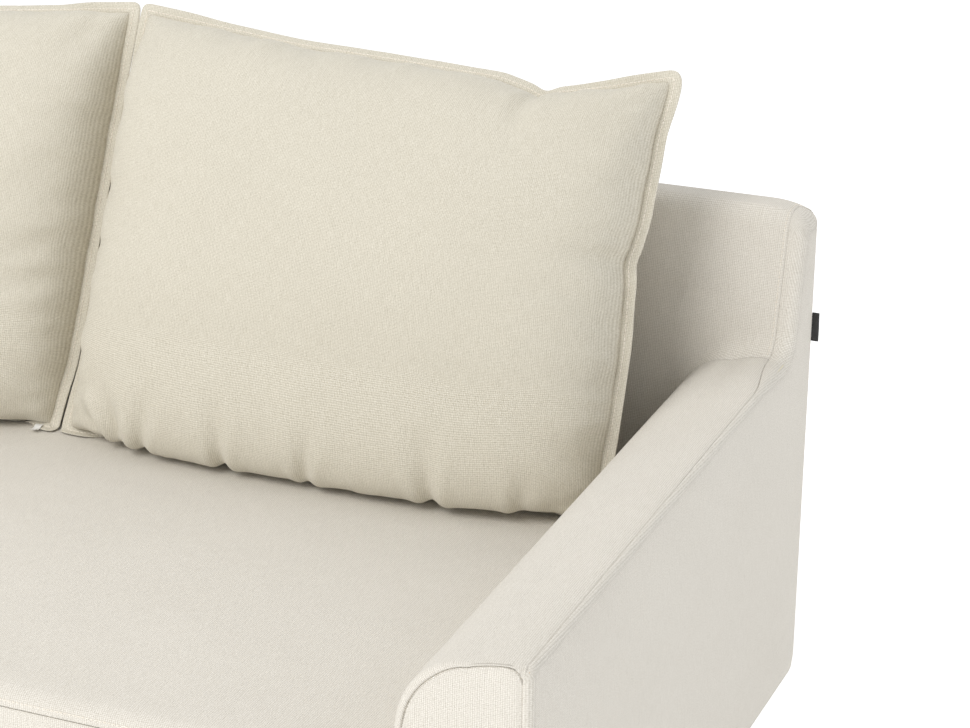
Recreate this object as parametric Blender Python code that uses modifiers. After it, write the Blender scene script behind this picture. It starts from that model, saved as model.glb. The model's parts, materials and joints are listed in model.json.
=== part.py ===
# A two-seat fabric sofa on turned wooden legs, as the separate pieces it is built from.
# Metres, +Z up, +X to the right of someone facing the sofa, +Y towards its back.
# The origin is on the floor under the middle of the body.

import math

import bmesh
import bpy
from mathutils import Matrix, Vector

# Driving dimensions of the body
WIDTH = 1.58
BODY_DEPTH = 0.845  # rear face to the front of the arms
SEAT_PROUD = 0.025  # how far the seat front stands ahead of the arms
UNDERSIDE = 0.14  # floor to the underside of the body
BACK_HEIGHT = 0.71
BACK_THICK = 0.048  # thickness of the back at its top
BACK_LEAN = math.radians(13)  # lean of the back's front face
ARM_WIDTH = 0.13
ARM_FRONT_HEIGHT = 0.531
ARM_REAR_HEIGHT = 0.557
SEAT_HEIGHT = 0.417

# Shape of the arm's section, seen from the front
ARM_SHOULDER = 0.06  # outer side to the start of the inner round
ARM_SHOULDER_DROP = 0.007  # fall of the top from the outer seam to the shoulder
ARM_ROUND_DROP = 0.088  # outer seam to the foot of the inner round
ARM_STEPS = 8

# Cover, padding and frame
COVER = 0.003  # fabric with its wadding
GAP = 0.0003  # between pieces that touch
CORNER = 0.018  # radius of the soft edges of the back
CORNER_STEPS = 4
SEAM_DROP = 0.017  # seat top to the seam above the front border
TUCK = 0.10  # how far covers run down out of sight below the seat top
SEAT_FOAM = 0.126
SEAT_EDGE = 0.014  # radius of the seat's front edge
BACK_FOAM = 0.014
ARM_FOAM = 0.020  # on the inner face of the arm
ARM_TOP_FOAM = 0.038
BACK_PANEL = 0.003
BOARD = 0.018  # plywood of the arm fronts
RAIL = 0.025  # thickness of the front, rear and back rails
RAIL_HEIGHT = 0.06  # height of the two rails of the back
POST = 0.045  # width of posts and side rails
DUST_COVER = 0.001
BLOCK = 0.085  # side of a leg block
BLOCK_HEIGHT = 0.045

# Springs of the seat
SPRINGS = 6
SPRING_WIRE = 0.0036
SPRING_REACH = 0.028  # half the width of the zigzag
SPRING_ROWS = 14
CLIP_WALL = 0.0015
CLIP_DEPTH = 0.016

# Legs
LEG_TOP_RADIUS = 0.026
LEG_FOOT_RADIUS = 0.015
LEG_SIDES = 20
LEG_EASE = 0.003  # eased top edge
BOLT_RADIUS = 0.004
HOLE_SIDES = 12
BOLT_IN_LEG = 0.030
BOLT_ABOVE_BLOCK = 0.004
GLIDE_RADIUS = 0.012
GLIDE = 0.004
GLIDE_EASE = 0.001

# Back cushions
CUSHION_HEIGHT = 0.50
CUSHION_THICK = 0.225
CUSHION_LEAN = math.radians(24)
CUSHION_RIM = 0.014  # thickness where the two faces meet
CUSHION_SIDE_GAP = 0.004
CUSHION_CLEAR = 0.002  # to the seat and to the top edge of the back
CUSHION_PULL = 0.008  # how far each side pulls in between the corners
CUSHION_FLAT_ACROSS = 8.0  # a higher power is flatter in the middle
CUSHION_FLAT_UP = 3.0
CUSHION_COLUMNS = 12
CUSHION_ROWS = 10
CLOTH = 0.0015
FILL_EDGE = 0.009  # the fill's edge inside the cover's edge
ZIP_UP = 0.07  # zip above the cushion's lower edge
ZIP_LENGTH = 0.40
ZIP_SLOT = 0.003
SLIDER_LENGTH = 0.010
SLIDER_THICK = 0.003
SLIDER_HEIGHT = 0.008

# Tag in the rear seam of the right side
TAG_OUT = 0.008
TAG_HEIGHT = 0.033
TAG_THICK = 0.001
TAG_TOP = 0.582

# Places that follow from the sizes above
HALF_WIDTH = WIDTH / 2
SEAT_HALF = HALF_WIDTH - ARM_WIDTH
Y_REAR = (BODY_DEPTH + SEAT_PROUD) / 2
Y_ARM_FRONT = Y_REAR - BODY_DEPTH
Y_SEAT_FRONT = Y_ARM_FRONT - SEAT_PROUD
SKIN = COVER + GAP
FRAME_BOTTOM = UNDERSIDE + DUST_COVER + 2 * GAP
FOAM_BOTTOM = SEAT_HEIGHT - COVER - GAP - SEAT_FOAM
CLIP_INSIDE = SPRING_WIRE + 2 * GAP
SPRING_Z = FOAM_BOTTOM - GAP - CLIP_WALL - CLIP_INSIDE / 2
RAIL_TOP = SPRING_Z - CLIP_INSIDE / 2 - CLIP_WALL - GAP
BOARD_FRONT = Y_ARM_FRONT + SKIN
BOARD_REAR = BOARD_FRONT + BOARD
FRONT_RAIL_FRONT = BOARD_REAR + GAP
FRONT_RAIL_REAR = FRONT_RAIL_FRONT + RAIL
REAR_RAIL_REAR = Y_REAR - SKIN
REAR_RAIL_FRONT = REAR_RAIL_REAR - RAIL
POST_INSIDE = HALF_WIDTH - SKIN - POST

COLOURS = {
    "cream_fabric": ((0.74, 0.69, 0.58), 0.9, 0.0),
    "cushion_fabric": ((0.72, 0.67, 0.55), 0.9, 0.0),
    "oak": ((0.50, 0.31, 0.16), 0.45, 0.0),
    "pine": ((0.70, 0.52, 0.32), 0.7, 0.0),
    "plywood": ((0.62, 0.46, 0.28), 0.7, 0.0),
    "fibreboard": ((0.32, 0.22, 0.14), 0.8, 0.0),
    "foam": ((0.85, 0.80, 0.60), 0.95, 0.0),
    "fibre_fill": ((0.88, 0.88, 0.86), 0.95, 0.0),
    "spring_steel": ((0.35, 0.36, 0.38), 0.35, 1.0),
    "zinc": ((0.62, 0.62, 0.64), 0.35, 1.0),
    "nylon": ((0.80, 0.78, 0.72), 0.5, 0.0),
    "dust_cloth": ((0.04, 0.04, 0.045), 0.95, 0.0),
    "black_plastic": ((0.03, 0.03, 0.03), 0.5, 0.0),
    "black_ribbon": ((0.02, 0.02, 0.02), 0.7, 0.0),
}

# Columns are where a flat outline's own x, y and thickness point in the world
PLANES = {
    "XY": Matrix(((1, 0, 0), (0, 1, 0), (0, 0, 1))),
    "XZ": Matrix(((1, 0, 0), (0, 0, -1), (0, 1, 0))),
    "YZ": Matrix(((0, 0, 1), (1, 0, 0), (0, 1, 0))),
}


def clear_scene():
    for obj in list(bpy.data.objects):
        bpy.data.objects.remove(obj, do_unlink=True)


def new_collection(name):
    collection = bpy.data.collections.new(name)
    bpy.context.scene.collection.children.link(collection)
    return collection


def new_material(name):
    colour, roughness, metallic = COLOURS[name]
    material = bpy.data.materials.new(name)
    material.use_nodes = True
    shader = material.node_tree.nodes["Principled BSDF"]
    shader.inputs["Base Color"].default_value = (*colour, 1.0)
    shader.inputs["Roughness"].default_value = roughness
    shader.inputs["Metallic"].default_value = metallic
    return material


clear_scene()
SOFA = new_collection("sofa_with_wooden_legs")
CUTTERS = new_collection("cutters")
MATERIALS = {name: new_material(name) for name in COLOURS}


def add(name, data, material, collection=None):
    """Links a new object that shows the given mesh or curve in one material."""
    obj = bpy.data.objects.new(name, data)
    (collection or SOFA).objects.link(obj)
    if material:
        data.materials.append(MATERIALS[material])
    return obj


def as_cutter(obj):
    """Moves a shape to the cutters, where it isn't part of the sofa."""
    SOFA.objects.unlink(obj)
    CUTTERS.objects.link(obj)
    obj.hide_render = True
    obj.display_type = "WIRE"
    return obj


def box(name, low, high, material):
    """A block between two opposite corners."""
    size = [b - a for a, b in zip(low, high)]
    mesh = bpy.data.meshes.new(name)
    shape = bmesh.new()
    bmesh.ops.create_cube(shape, size=1.0, matrix=Matrix.Diagonal((*size, 1.0)))
    shape.to_mesh(mesh)
    shape.free()
    obj = add(name, mesh, material)
    obj.location = [(a + b) / 2 for a, b in zip(low, high)]
    return obj


def signed_area(points):
    pairs = zip(points, points[1:] + points[:1])
    return sum(a[0] * b[1] - b[0] * a[1] for a, b in pairs) / 2


def plate(name, outlines, plane, start, end, material):
    """Flat outlines, the first outside and the rest holes, filled between two depths of a plane."""
    curve = bpy.data.curves.new(name, "CURVE")
    curve.dimensions = "2D"
    curve.fill_mode = "BOTH"
    curve.extrude = abs(end - start) / 2
    for points in outlines:
        if signed_area(points) < 0:
            points = points[::-1]
        spline = curve.splines.new("POLY")
        spline.points.add(len(points) - 1)
        for target, (x, y) in zip(spline.points, points):
            target.co = (x, y, 0.0, 1.0)
        spline.use_cyclic_u = True
    obj = add(name, curve, material)
    axes = PLANES[plane]
    obj.rotation_euler = axes.to_euler()
    depth_axis = {"XY": 2, "XZ": 1, "YZ": 0}[plane]
    obj.location[depth_axis] = (start + end) / 2
    return obj


def as_mesh(obj):
    """The same object with its curve or modifiers turned into one welded mesh, in world places."""
    bpy.context.view_layer.update()
    graph = bpy.context.evaluated_depsgraph_get()
    mesh = bpy.data.meshes.new_from_object(obj.evaluated_get(graph))
    mesh.transform(obj.matrix_world)
    shape = bmesh.new()
    shape.from_mesh(mesh)
    bmesh.ops.remove_doubles(shape, verts=shape.verts, dist=1e-6)
    bmesh.ops.recalc_face_normals(shape, faces=shape.faces)
    shape.to_mesh(mesh)
    shape.free()
    name = obj.name
    material = obj.data.materials[0]
    bpy.data.objects.remove(obj, do_unlink=True)
    mesh.materials.clear()
    mesh.materials.append(material)
    made = bpy.data.objects.new(name, mesh)
    SOFA.objects.link(made)
    return made


def cut(obj, cutters):
    """Takes each cutter away from the object."""
    for cutter in cutters:
        boolean = obj.modifiers.new("cut_" + cutter.name, "BOOLEAN")
        boolean.operation = "DIFFERENCE"
        boolean.solver = "EXACT"
        boolean.object = cutter
    return obj


def arc(centre, radii, start, end, steps):
    """Points along part of an ellipse, angles in degrees."""
    points = []
    for i in range(steps + 1):
        angle = math.radians(start + (end - start) * i / steps)
        x = centre[0] + radii[0] * math.cos(angle)
        y = centre[1] + radii[1] * math.sin(angle)
        points.append((x, y))
    return points


def strip(path, thickness):
    """A closed outline of even thickness, on the right of an open path."""
    normals = []
    for a, b in zip(path, path[1:]):
        run = Vector((b[0] - a[0], b[1] - a[1])).normalized()
        normals.append(Vector((run.y, -run.x)))
    inner = []
    for i, point in enumerate(path):
        mitre = normals[max(i - 1, 0)] + normals[min(i, len(normals) - 1)]
        mitre *= 2 * thickness / mitre.length_squared
        inner.append((point[0] + mitre.x, point[1] + mitre.y))
    return list(path) + inner[::-1]


def turned(name, profile, place, sides, material):
    """(radius, height) points, from the inside to the top and down the outer side, spun about Z."""
    mesh = bpy.data.meshes.new(name)
    shape = bmesh.new()
    corners = [shape.verts.new((radius, 0.0, height)) for radius, height in profile]
    for a, b in zip(corners, corners[1:]):
        shape.edges.new((a, b))
    shape.to_mesh(mesh)
    shape.free()
    obj = add(name, mesh, material)
    obj.location = place
    screw = obj.modifiers.new("spin", "SCREW")
    screw.steps = sides
    screw.render_steps = sides
    screw.use_merge_vertices = True
    screw.merge_threshold = 0.00001
    screw.use_smooth_shade = True
    return obj


def wire(name, points, diameter, material):
    """A round wire along straight runs, its ends closed."""
    curve = bpy.data.curves.new(name, "CURVE")
    curve.dimensions = "3D"
    curve.bevel_depth = diameter / 2
    curve.bevel_resolution = 2
    curve.use_fill_caps = True
    spline = curve.splines.new("POLY")
    spline.points.add(len(points) - 1)
    for target, point in zip(spline.points, points):
        target.co = (*point, 1.0)
    return add(name, curve, material)


def back_face(height, depth=0.0):
    """Y of the plane that leans with the back, at a height and a depth under its front face."""
    fall = (BACK_HEIGHT - height) * math.tan(BACK_LEAN)
    return Y_REAR - BACK_THICK - fall + depth / math.cos(BACK_LEAN)


ARM_END = back_face(ARM_REAR_HEIGHT)
ARM_SLOPE = (ARM_REAR_HEIGHT - ARM_FRONT_HEIGHT) / (ARM_END - Y_ARM_FRONT)
PANEL_DEPTH = SKIN + BACK_FOAM + GAP
POST_DEPTH = PANEL_DEPTH + BACK_PANEL + GAP
BACK_FRAME_TOP = BACK_HEIGHT - SKIN - BACK_FOAM - GAP
TUCK_HEIGHT = SEAT_HEIGHT - TUCK
LOWER_RAIL_BOTTOM = TUCK_HEIGHT + GAP
ARM_BOARD_TOP = ARM_FRONT_HEIGHT - SKIN - ARM_TOP_FOAM  # at the arm's front
ARM_BOARD_INSIDE = ARM_WIDTH - SKIN - ARM_FOAM
BLOCK_OUTSIDE = SKIN + POST + GAP
LEG_ACROSS = BLOCK_OUTSIDE + BLOCK / 2
LEG_Y = {"front": FRONT_RAIL_REAR + GAP + BLOCK / 2, "rear": REAR_RAIL_FRONT - GAP - BLOCK / 2}
SIDES = {"left": -1, "right": 1}


def sloped(obj):
    """Turns a shape to a mesh and lifts it, more towards the back, by the arm's slope."""
    obj = as_mesh(obj)
    lift = Matrix.Identity(4)
    lift[2][1] = ARM_SLOPE
    lift[2][3] = -ARM_SLOPE * Y_ARM_FRONT
    obj.data.transform(lift)
    return obj


def from_side(side, outline):
    """Points measured inwards from the outer side of an arm, as X and Z."""
    return [(side * (HALF_WIDTH - across), height) for across, height in outline]


def arm_section(inset, outer, foot):
    """The arm's top from the front: outer edge, shoulder, inner round and inner face, inset."""
    centre = (ARM_SHOULDER, ARM_FRONT_HEIGHT - ARM_ROUND_DROP)
    radii = (ARM_WIDTH - ARM_SHOULDER - inset, ARM_ROUND_DROP - ARM_SHOULDER_DROP - inset)
    start = ARM_FRONT_HEIGHT - inset - ARM_SHOULDER_DROP * outer / ARM_SHOULDER
    return [(outer, start)] + arc(centre, radii, 90, 0, ARM_STEPS) + [(ARM_WIDTH - inset, foot)]


def arm_top_line(start, inset):
    """The side cover's top edge on the arm, from its height in front to the back's face."""
    lean = math.tan(BACK_LEAN)
    y = back_face(start, inset) - lean * ARM_SLOPE * Y_ARM_FRONT
    y /= 1 - lean * ARM_SLOPE
    return [(front, start + ARM_SLOPE * (front - Y_ARM_FRONT)) for front in (BOARD_FRONT, y)]


def back_top(inset):
    """The back's side view from its face over the soft edge to the rear, inset from the skin."""
    centre = (back_face(BACK_HEIGHT - CORNER, CORNER), BACK_HEIGHT - CORNER)
    radius = CORNER - inset
    edge = arc(centre, (radius, radius), 180 - math.degrees(BACK_LEAN), 90, CORNER_STEPS)
    return edge + [(Y_REAR - inset, BACK_HEIGHT - inset)]


def rear_edge(inset):
    """The side view's rear face, down round the soft lower corner, inset from the skin."""
    centre = (Y_REAR - CORNER, UNDERSIDE + CORNER)
    radius = CORNER - inset
    return arc(centre, (radius, radius), 0, -90, CORNER_STEPS)


def frame_corner(bottom):
    """The frame's rear lower corner, kept inside the cover's soft corner, to its flat bottom."""
    kept = [point for point in rear_edge(SKIN) if point[1] > bottom]
    return kept + [(Y_REAR - CORNER, bottom)]


def seat_front(inset, low):
    """The seat's side view from low on its front up over its edge, inset from the skin."""
    centre = (Y_SEAT_FRONT + SEAT_EDGE, SEAT_HEIGHT - SEAT_EDGE)
    radius = SEAT_EDGE - inset
    return [(Y_SEAT_FRONT + inset, low)] + arc(centre, (radius, radius), 180, 90, CORNER_STEPS)


def build_seat_frame():
    between_posts = POST_INSIDE - GAP
    low = (-between_posts, FRONT_RAIL_FRONT, FRAME_BOTTOM)
    box("front_rail", low, (between_posts, FRONT_RAIL_REAR, RAIL_TOP), "pine")
    rear = [(REAR_RAIL_FRONT, FRAME_BOTTOM), (REAR_RAIL_FRONT, RAIL_TOP)]
    rear += [(REAR_RAIL_REAR, RAIL_TOP)] + frame_corner(FRAME_BOTTOM)
    plate("rear_rail", [rear], "YZ", -between_posts, between_posts, "pine")
    rail_rear = back_face(RAIL_TOP, POST_DEPTH) - GAP
    for name, side in SIDES.items():
        across = sorted((side * (HALF_WIDTH - SKIN), side * POST_INSIDE))
        low = (across[0], FRONT_RAIL_FRONT, FRAME_BOTTOM)
        box("side_rail_" + name, low, (across[1], rail_rear, RAIL_TOP), "pine")


def build_arm_frame():
    for name, side in SIDES.items():
        board = arm_section(SKIN, SKIN, FRAME_BOTTOM) + [(SKIN, FRAME_BOTTOM)]
        outline = from_side(side, board)
        plate("arm_front_board_" + name, [outline], "XZ", BOARD_FRONT, BOARD_REAR, "plywood")
        low = ARM_BOARD_TOP - RAIL
        top = [(SKIN, low), (ARM_BOARD_INSIDE, low)]
        top += [(ARM_BOARD_INSIDE, ARM_BOARD_TOP), (SKIN, ARM_BOARD_TOP)]
        rear = back_face(low + ARM_REAR_HEIGHT - ARM_FRONT_HEIGHT, POST_DEPTH) - GAP
        outline = from_side(side, top)
        sloped(plate("arm_top_rail_" + name, [outline], "XZ", BOARD_REAR + GAP, rear, "pine"))


def build_back_frame():
    foot = back_face(RAIL_TOP, POST_DEPTH)
    crest = back_face(BACK_FRAME_TOP, POST_DEPTH)
    post = [(foot, FRAME_BOTTOM), (foot, RAIL_TOP), (crest, BACK_FRAME_TOP)]
    post += [(REAR_RAIL_REAR, BACK_FRAME_TOP)] + frame_corner(FRAME_BOTTOM)
    for name, side in SIDES.items():
        across = (side * POST_INSIDE, side * (HALF_WIDTH - SKIN))
        plate("back_post_" + name, [post], "YZ", *across, "pine")

    between_posts = POST_INSIDE - GAP
    top_low = BACK_FRAME_TOP - RAIL_HEIGHT
    top = [(back_face(top_low, POST_DEPTH), top_low), (crest, BACK_FRAME_TOP)]
    top += [(REAR_RAIL_REAR, BACK_FRAME_TOP), (REAR_RAIL_REAR, top_low)]
    plate("back_top_rail", [top], "YZ", -between_posts, between_posts, "pine")

    lower_top = LOWER_RAIL_BOTTOM + RAIL_HEIGHT
    front = [(back_face(h, POST_DEPTH), h) for h in (LOWER_RAIL_BOTTOM, lower_top)]
    rear = [(y + RAIL, h) for y, h in front]
    plate("back_lower_rail", [front + rear[::-1]], "YZ", -between_posts, between_posts, "pine")

    low, high = lower_top + GAP, top_low - GAP
    centre = [(back_face(low, POST_DEPTH), low), (back_face(high, POST_DEPTH), high)]
    centre += [(REAR_RAIL_REAR, high), (REAR_RAIL_REAR, low)]
    plate("back_centre_post", [centre], "YZ", -POST / 2, POST / 2, "pine")

    low, high = LOWER_RAIL_BOTTOM, BACK_FRAME_TOP - RAIL_HEIGHT / 2
    near = [(back_face(h, PANEL_DEPTH), h) for h in (low, high)]
    far = [(back_face(h, PANEL_DEPTH + BACK_PANEL), h) for h in (low, high)]
    reach = SEAT_HALF - COVER
    plate("back_panel", [near + far[::-1]], "YZ", -reach, reach, "fibreboard")


def build_springs():
    reach = POST_INSIDE - GAP
    bottom = RAIL_TOP + GAP
    clip = [(0, 0), (CLIP_DEPTH, 0), (CLIP_DEPTH, CLIP_WALL), (CLIP_WALL, CLIP_WALL)]
    clip += [(CLIP_WALL, CLIP_WALL + CLIP_INSIDE), (CLIP_DEPTH, CLIP_WALL + CLIP_INSIDE)]
    clip += [(CLIP_DEPTH, 2 * CLIP_WALL + CLIP_INSIDE), (0, 2 * CLIP_WALL + CLIP_INSIDE)]
    ends = {"front": (FRONT_RAIL_REAR - CLIP_DEPTH, 1), "rear": (REAR_RAIL_FRONT + CLIP_DEPTH, -1)}
    for name, (y, way) in ends.items():
        outline = [(y + way * along, bottom + up) for along, up in clip]
        plate("spring_clip_strip_" + name, [outline], "YZ", -reach, reach, "zinc")

    inside = CLIP_WALL + GAP + SPRING_WIRE / 2
    first = ends["front"][0] + inside
    last = ends["rear"][0] - inside
    step = (last - first) / (SPRING_ROWS - 1)
    spacing = 2 * SEAT_HALF / SPRINGS
    for i in range(SPRINGS):
        middle = (i + 0.5) * spacing - SEAT_HALF
        points = []
        for row in range(SPRING_ROWS):
            way = -1 if row % 2 else 1
            y = first + row * step
            points.append((middle - way * SPRING_REACH, y, SPRING_Z))
            points.append((middle + way * SPRING_REACH, y, SPRING_Z))
        wire(f"seat_spring_{i + 1}", points, SPRING_WIRE, "spring_steel")


def arm_cutters():
    """The room the arms take out of the back's padding and cover."""
    cutters = []
    for name, side in SIDES.items():
        section = arm_section(-GAP, -CORNER, 0.0) + [(-CORNER, 0.0)]
        room = plate("arm_room_" + name, [from_side(side, section)], "XZ", 0.0, 2 * Y_REAR, "foam")
        cutters.append(as_cutter(sloped(room)))
    return cutters


def back_cutter():
    """Everything behind the back's front face, where the arms' padding and top covers end."""
    near = [(back_face(h) - GAP, h) for h in (0.0, 2 * BACK_HEIGHT)]
    far = [(2 * BODY_DEPTH, 2 * BACK_HEIGHT), (2 * BODY_DEPTH, 0.0)]
    return as_cutter(as_mesh(plate("back_room", [near + far], "YZ", -WIDTH, WIDTH, "foam")))


def build_padding(arm_rooms, back_room):
    half = SEAT_HALF - GAP - SKIN
    seat = [(Y_SEAT_FRONT + SKIN, FRAME_BOTTOM)] + seat_front(SKIN, FOAM_BOTTOM)
    seat += [(back_face(h) - GAP, h) for h in (SEAT_HEIGHT - SKIN, FOAM_BOTTOM)]
    seat += [(FRONT_RAIL_FRONT - GAP, FOAM_BOTTOM), (FRONT_RAIL_FRONT - GAP, FRAME_BOTTOM)]
    plate("seat_foam", [seat], "YZ", -half, half, "foam")

    depth = SKIN + BACK_FOAM
    back = [(back_face(TUCK_HEIGHT, SKIN), TUCK_HEIGHT)] + back_top(SKIN)
    under = BACK_HEIGHT - depth
    back += [(Y_REAR - SKIN, under), (back_face(under, depth), under)]
    back += [(back_face(TUCK_HEIGHT, depth), TUCK_HEIGHT)]
    reach = HALF_WIDTH - SKIN
    cut(as_mesh(plate("back_foam", [back], "YZ", -reach, reach, "foam")), arm_rooms)

    for name, side in SIDES.items():
        board_top = ARM_BOARD_TOP + GAP
        board_side = ARM_BOARD_INSIDE + GAP
        foam = arm_section(SKIN, SKIN, TUCK_HEIGHT)
        foam += [(board_side, TUCK_HEIGHT), (board_side, board_top), (SKIN, board_top)]
        outline = from_side(side, foam)
        foam = plate("arm_foam_" + name, [outline], "XZ", BOARD_REAR + GAP, Y_REAR, "foam")
        cut(sloped(foam), [back_room])


def build_arm_covers(back_room):
    for name, side in SIDES.items():
        outer = from_side(side, arm_section(0.0, 0.0, TUCK_HEIGHT))
        inner = from_side(side, arm_section(COVER, 0.0, TUCK_HEIGHT))
        band = [outer + inner[::-1]]
        band = plate("arm_top_cover_" + name, band, "XZ", BOARD_FRONT, Y_REAR, "cream_fabric")
        cut(sloped(band), [back_room])

        front = arm_section(0.0, 0.0, UNDERSIDE) + [(0.0, UNDERSIDE)]
        front = [from_side(side, front)]
        depths = (Y_ARM_FRONT, Y_ARM_FRONT + COVER)
        plate("arm_front_cover_" + name, front, "XZ", *depths, "cream_fabric")

        panel = [(BOARD_FRONT, UNDERSIDE)] + arm_top_line(ARM_FRONT_HEIGHT - SKIN - GAP, SKIN)
        panel += back_top(SKIN) + rear_edge(SKIN)
        panel += [(Y_REAR - CORNER - GAP, UNDERSIDE + SKIN), (Y_REAR - CORNER - GAP, UNDERSIDE)]
        across = (side * (HALF_WIDTH - COVER), side * HALF_WIDTH)
        plate("side_cover_" + name, [panel], "YZ", *across, "cream_fabric")


def build_back_covers(arm_rooms):
    outer = [(back_face(TUCK_HEIGHT), TUCK_HEIGHT)] + back_top(0.0)
    inner = [(back_face(TUCK_HEIGHT, COVER), TUCK_HEIGHT)] + back_top(COVER)[:-1]
    inner += [(Y_REAR, BACK_HEIGHT - COVER)]
    across = (-HALF_WIDTH, HALF_WIDTH)
    cover = plate("back_front_cover", [outer + inner[::-1]], "YZ", *across, "cream_fabric")
    cut(as_mesh(cover), arm_rooms)

    outer = [(Y_REAR, BACK_HEIGHT - SKIN)] + rear_edge(0.0)
    inner = [(Y_REAR - COVER, BACK_HEIGHT - SKIN)] + rear_edge(COVER)
    plate("back_rear_cover", [outer + inner[::-1]], "YZ", *across, "cream_fabric")


def build_seat_covers():
    half = SEAT_HALF - GAP
    seam = SEAT_HEIGHT - SEAM_DROP
    outer = seat_front(0.0, seam) + [(back_face(SEAT_HEIGHT) - GAP, SEAT_HEIGHT)]
    inner = seat_front(COVER, seam) + [(back_face(SEAT_HEIGHT - COVER) - GAP, SEAT_HEIGHT - COVER)]
    plate("seat_cover", [outer + inner[::-1]], "YZ", -half, half, "cream_fabric")

    rear = Y_ARM_FRONT - GAP
    path = [(half, rear), (half, Y_SEAT_FRONT), (-half, Y_SEAT_FRONT), (-half, rear)]
    plate("seat_front_cover", [strip(path, COVER)], "XY", UNDERSIDE, seam - GAP, "cream_fabric")


def bolt_hole(x, y):
    """The outline of a clear hole for a leg's bolt."""
    radius = BOLT_RADIUS + GAP
    return arc((x, y), (radius, radius), 0, 360, HOLE_SIDES)[:-1]


def build_underside():
    half = HALF_WIDTH - SKIN
    rear = Y_REAR - CORNER - 2 * GAP
    seat = SEAT_HALF - GAP - SKIN
    front = Y_SEAT_FRONT + SKIN
    cloth = [(-half, rear), (-half, BOARD_FRONT), (-seat, BOARD_FRONT), (-seat, front)]
    cloth += [(seat, front), (seat, BOARD_FRONT), (half, BOARD_FRONT), (half, rear)]
    holes = []
    for side in SIDES.values():
        for y in LEG_Y.values():
            holes.append(bolt_hole(side * (HALF_WIDTH - LEG_ACROSS), y))
    low = UNDERSIDE + GAP
    plate("dust_cover", [cloth] + holes, "XY", low, low + DUST_COVER, "dust_cloth")


def build_leg(name, x, y):
    half = BLOCK / 2
    block = [(x - half, y - half), (x + half, y - half), (x + half, y + half), (x - half, y + half)]
    block_top = FRAME_BOTTOM + BLOCK_HEIGHT
    outlines = [block, bolt_hole(x, y)]
    plate("leg_block_" + name, outlines, "XY", FRAME_BOTTOM, block_top, "plywood")

    bore = BOLT_RADIUS + GAP
    top = UNDERSIDE - GAP
    foot = GLIDE + GAP
    pocket = top - BOLT_IN_LEG
    profile = [(0.0, pocket), (bore, pocket), (bore, top), (LEG_TOP_RADIUS - LEG_EASE, top)]
    profile += [(LEG_TOP_RADIUS, top - LEG_EASE), (LEG_FOOT_RADIUS, foot), (0.0, foot)]
    turned("leg_" + name, profile, (x, y, 0.0), LEG_SIDES, "oak")

    low, high = pocket + GAP, block_top + BOLT_ABOVE_BLOCK
    profile = [(0.0, high), (BOLT_RADIUS, high), (BOLT_RADIUS, low), (0.0, low)]
    turned("leg_bolt_" + name, profile, (x, y, 0.0), LEG_SIDES // 2, "zinc")

    profile = [(0.0, GLIDE), (GLIDE_RADIUS, GLIDE), (GLIDE_RADIUS, GLIDE_EASE)]
    profile += [(GLIDE_RADIUS - GLIDE_EASE, 0.0), (0.0, 0.0)]
    turned("leg_glide_" + name, profile, (x, y, 0.0), LEG_SIDES, "black_plastic")


def build_legs():
    for side_name, side in SIDES.items():
        for end, y in LEG_Y.items():
            build_leg(f"{end}_{side_name}", side * (HALF_WIDTH - LEG_ACROSS), y)


def cushion_depth(across, up, thick):
    """Half the thickness of a pillow at a place between -1 and 1 both ways."""
    bulge = (1 - abs(across) ** CUSHION_FLAT_ACROSS) * (1 - abs(up) ** CUSHION_FLAT_UP)
    return CUSHION_RIM / 2 + (thick - CUSHION_RIM) / 2 * math.sqrt(max(bulge, 0.0))


def pillow(name, half_width, low, high, thick, material):
    """Two bulging faces that meet in a thin rim, with X across, -Y to the front and Z up."""
    shape = bmesh.new()
    cells = {"x_segments": CUSHION_COLUMNS, "y_segments": CUSHION_ROWS}
    for way in (-1, 1):
        grid = bmesh.ops.create_grid(shape, size=1.0, **cells)
        for vert in grid["verts"]:
            across = math.sin(vert.co.x * math.pi / 2)
            up = math.sin(vert.co.y * math.pi / 2)
            x = across * (half_width - CUSHION_PULL * (1 - up * up))
            z = low + (high - low) * (up + 1) / 2
            vert.co = (x, way * cushion_depth(across, up, thick), z)
    edges = [edge for edge in shape.edges if edge.is_boundary]
    bmesh.ops.bridge_loops(shape, edges=edges)
    bmesh.ops.recalc_face_normals(shape, faces=shape.faces)
    mesh = bpy.data.meshes.new(name)
    shape.to_mesh(mesh)
    shape.free()
    return add(name, mesh, material)


def cushion_place(cover):
    """Where a cushion's lower edge goes, clear of the seat and of the back's top edge."""
    sine, cosine = math.sin(CUSHION_LEAN), math.cos(CUSHION_LEAN)
    lowest = min(vert.co.z * cosine - vert.co.y * sine for vert in cover.data.vertices)
    z = SEAT_HEIGHT + CUSHION_CLEAR - lowest
    clearance = CUSHION_THICK / 2 + CUSHION_CLEAR
    y = back_face(BACK_HEIGHT) - (clearance + (BACK_HEIGHT - z) * sine) / cosine
    return y, z


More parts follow.
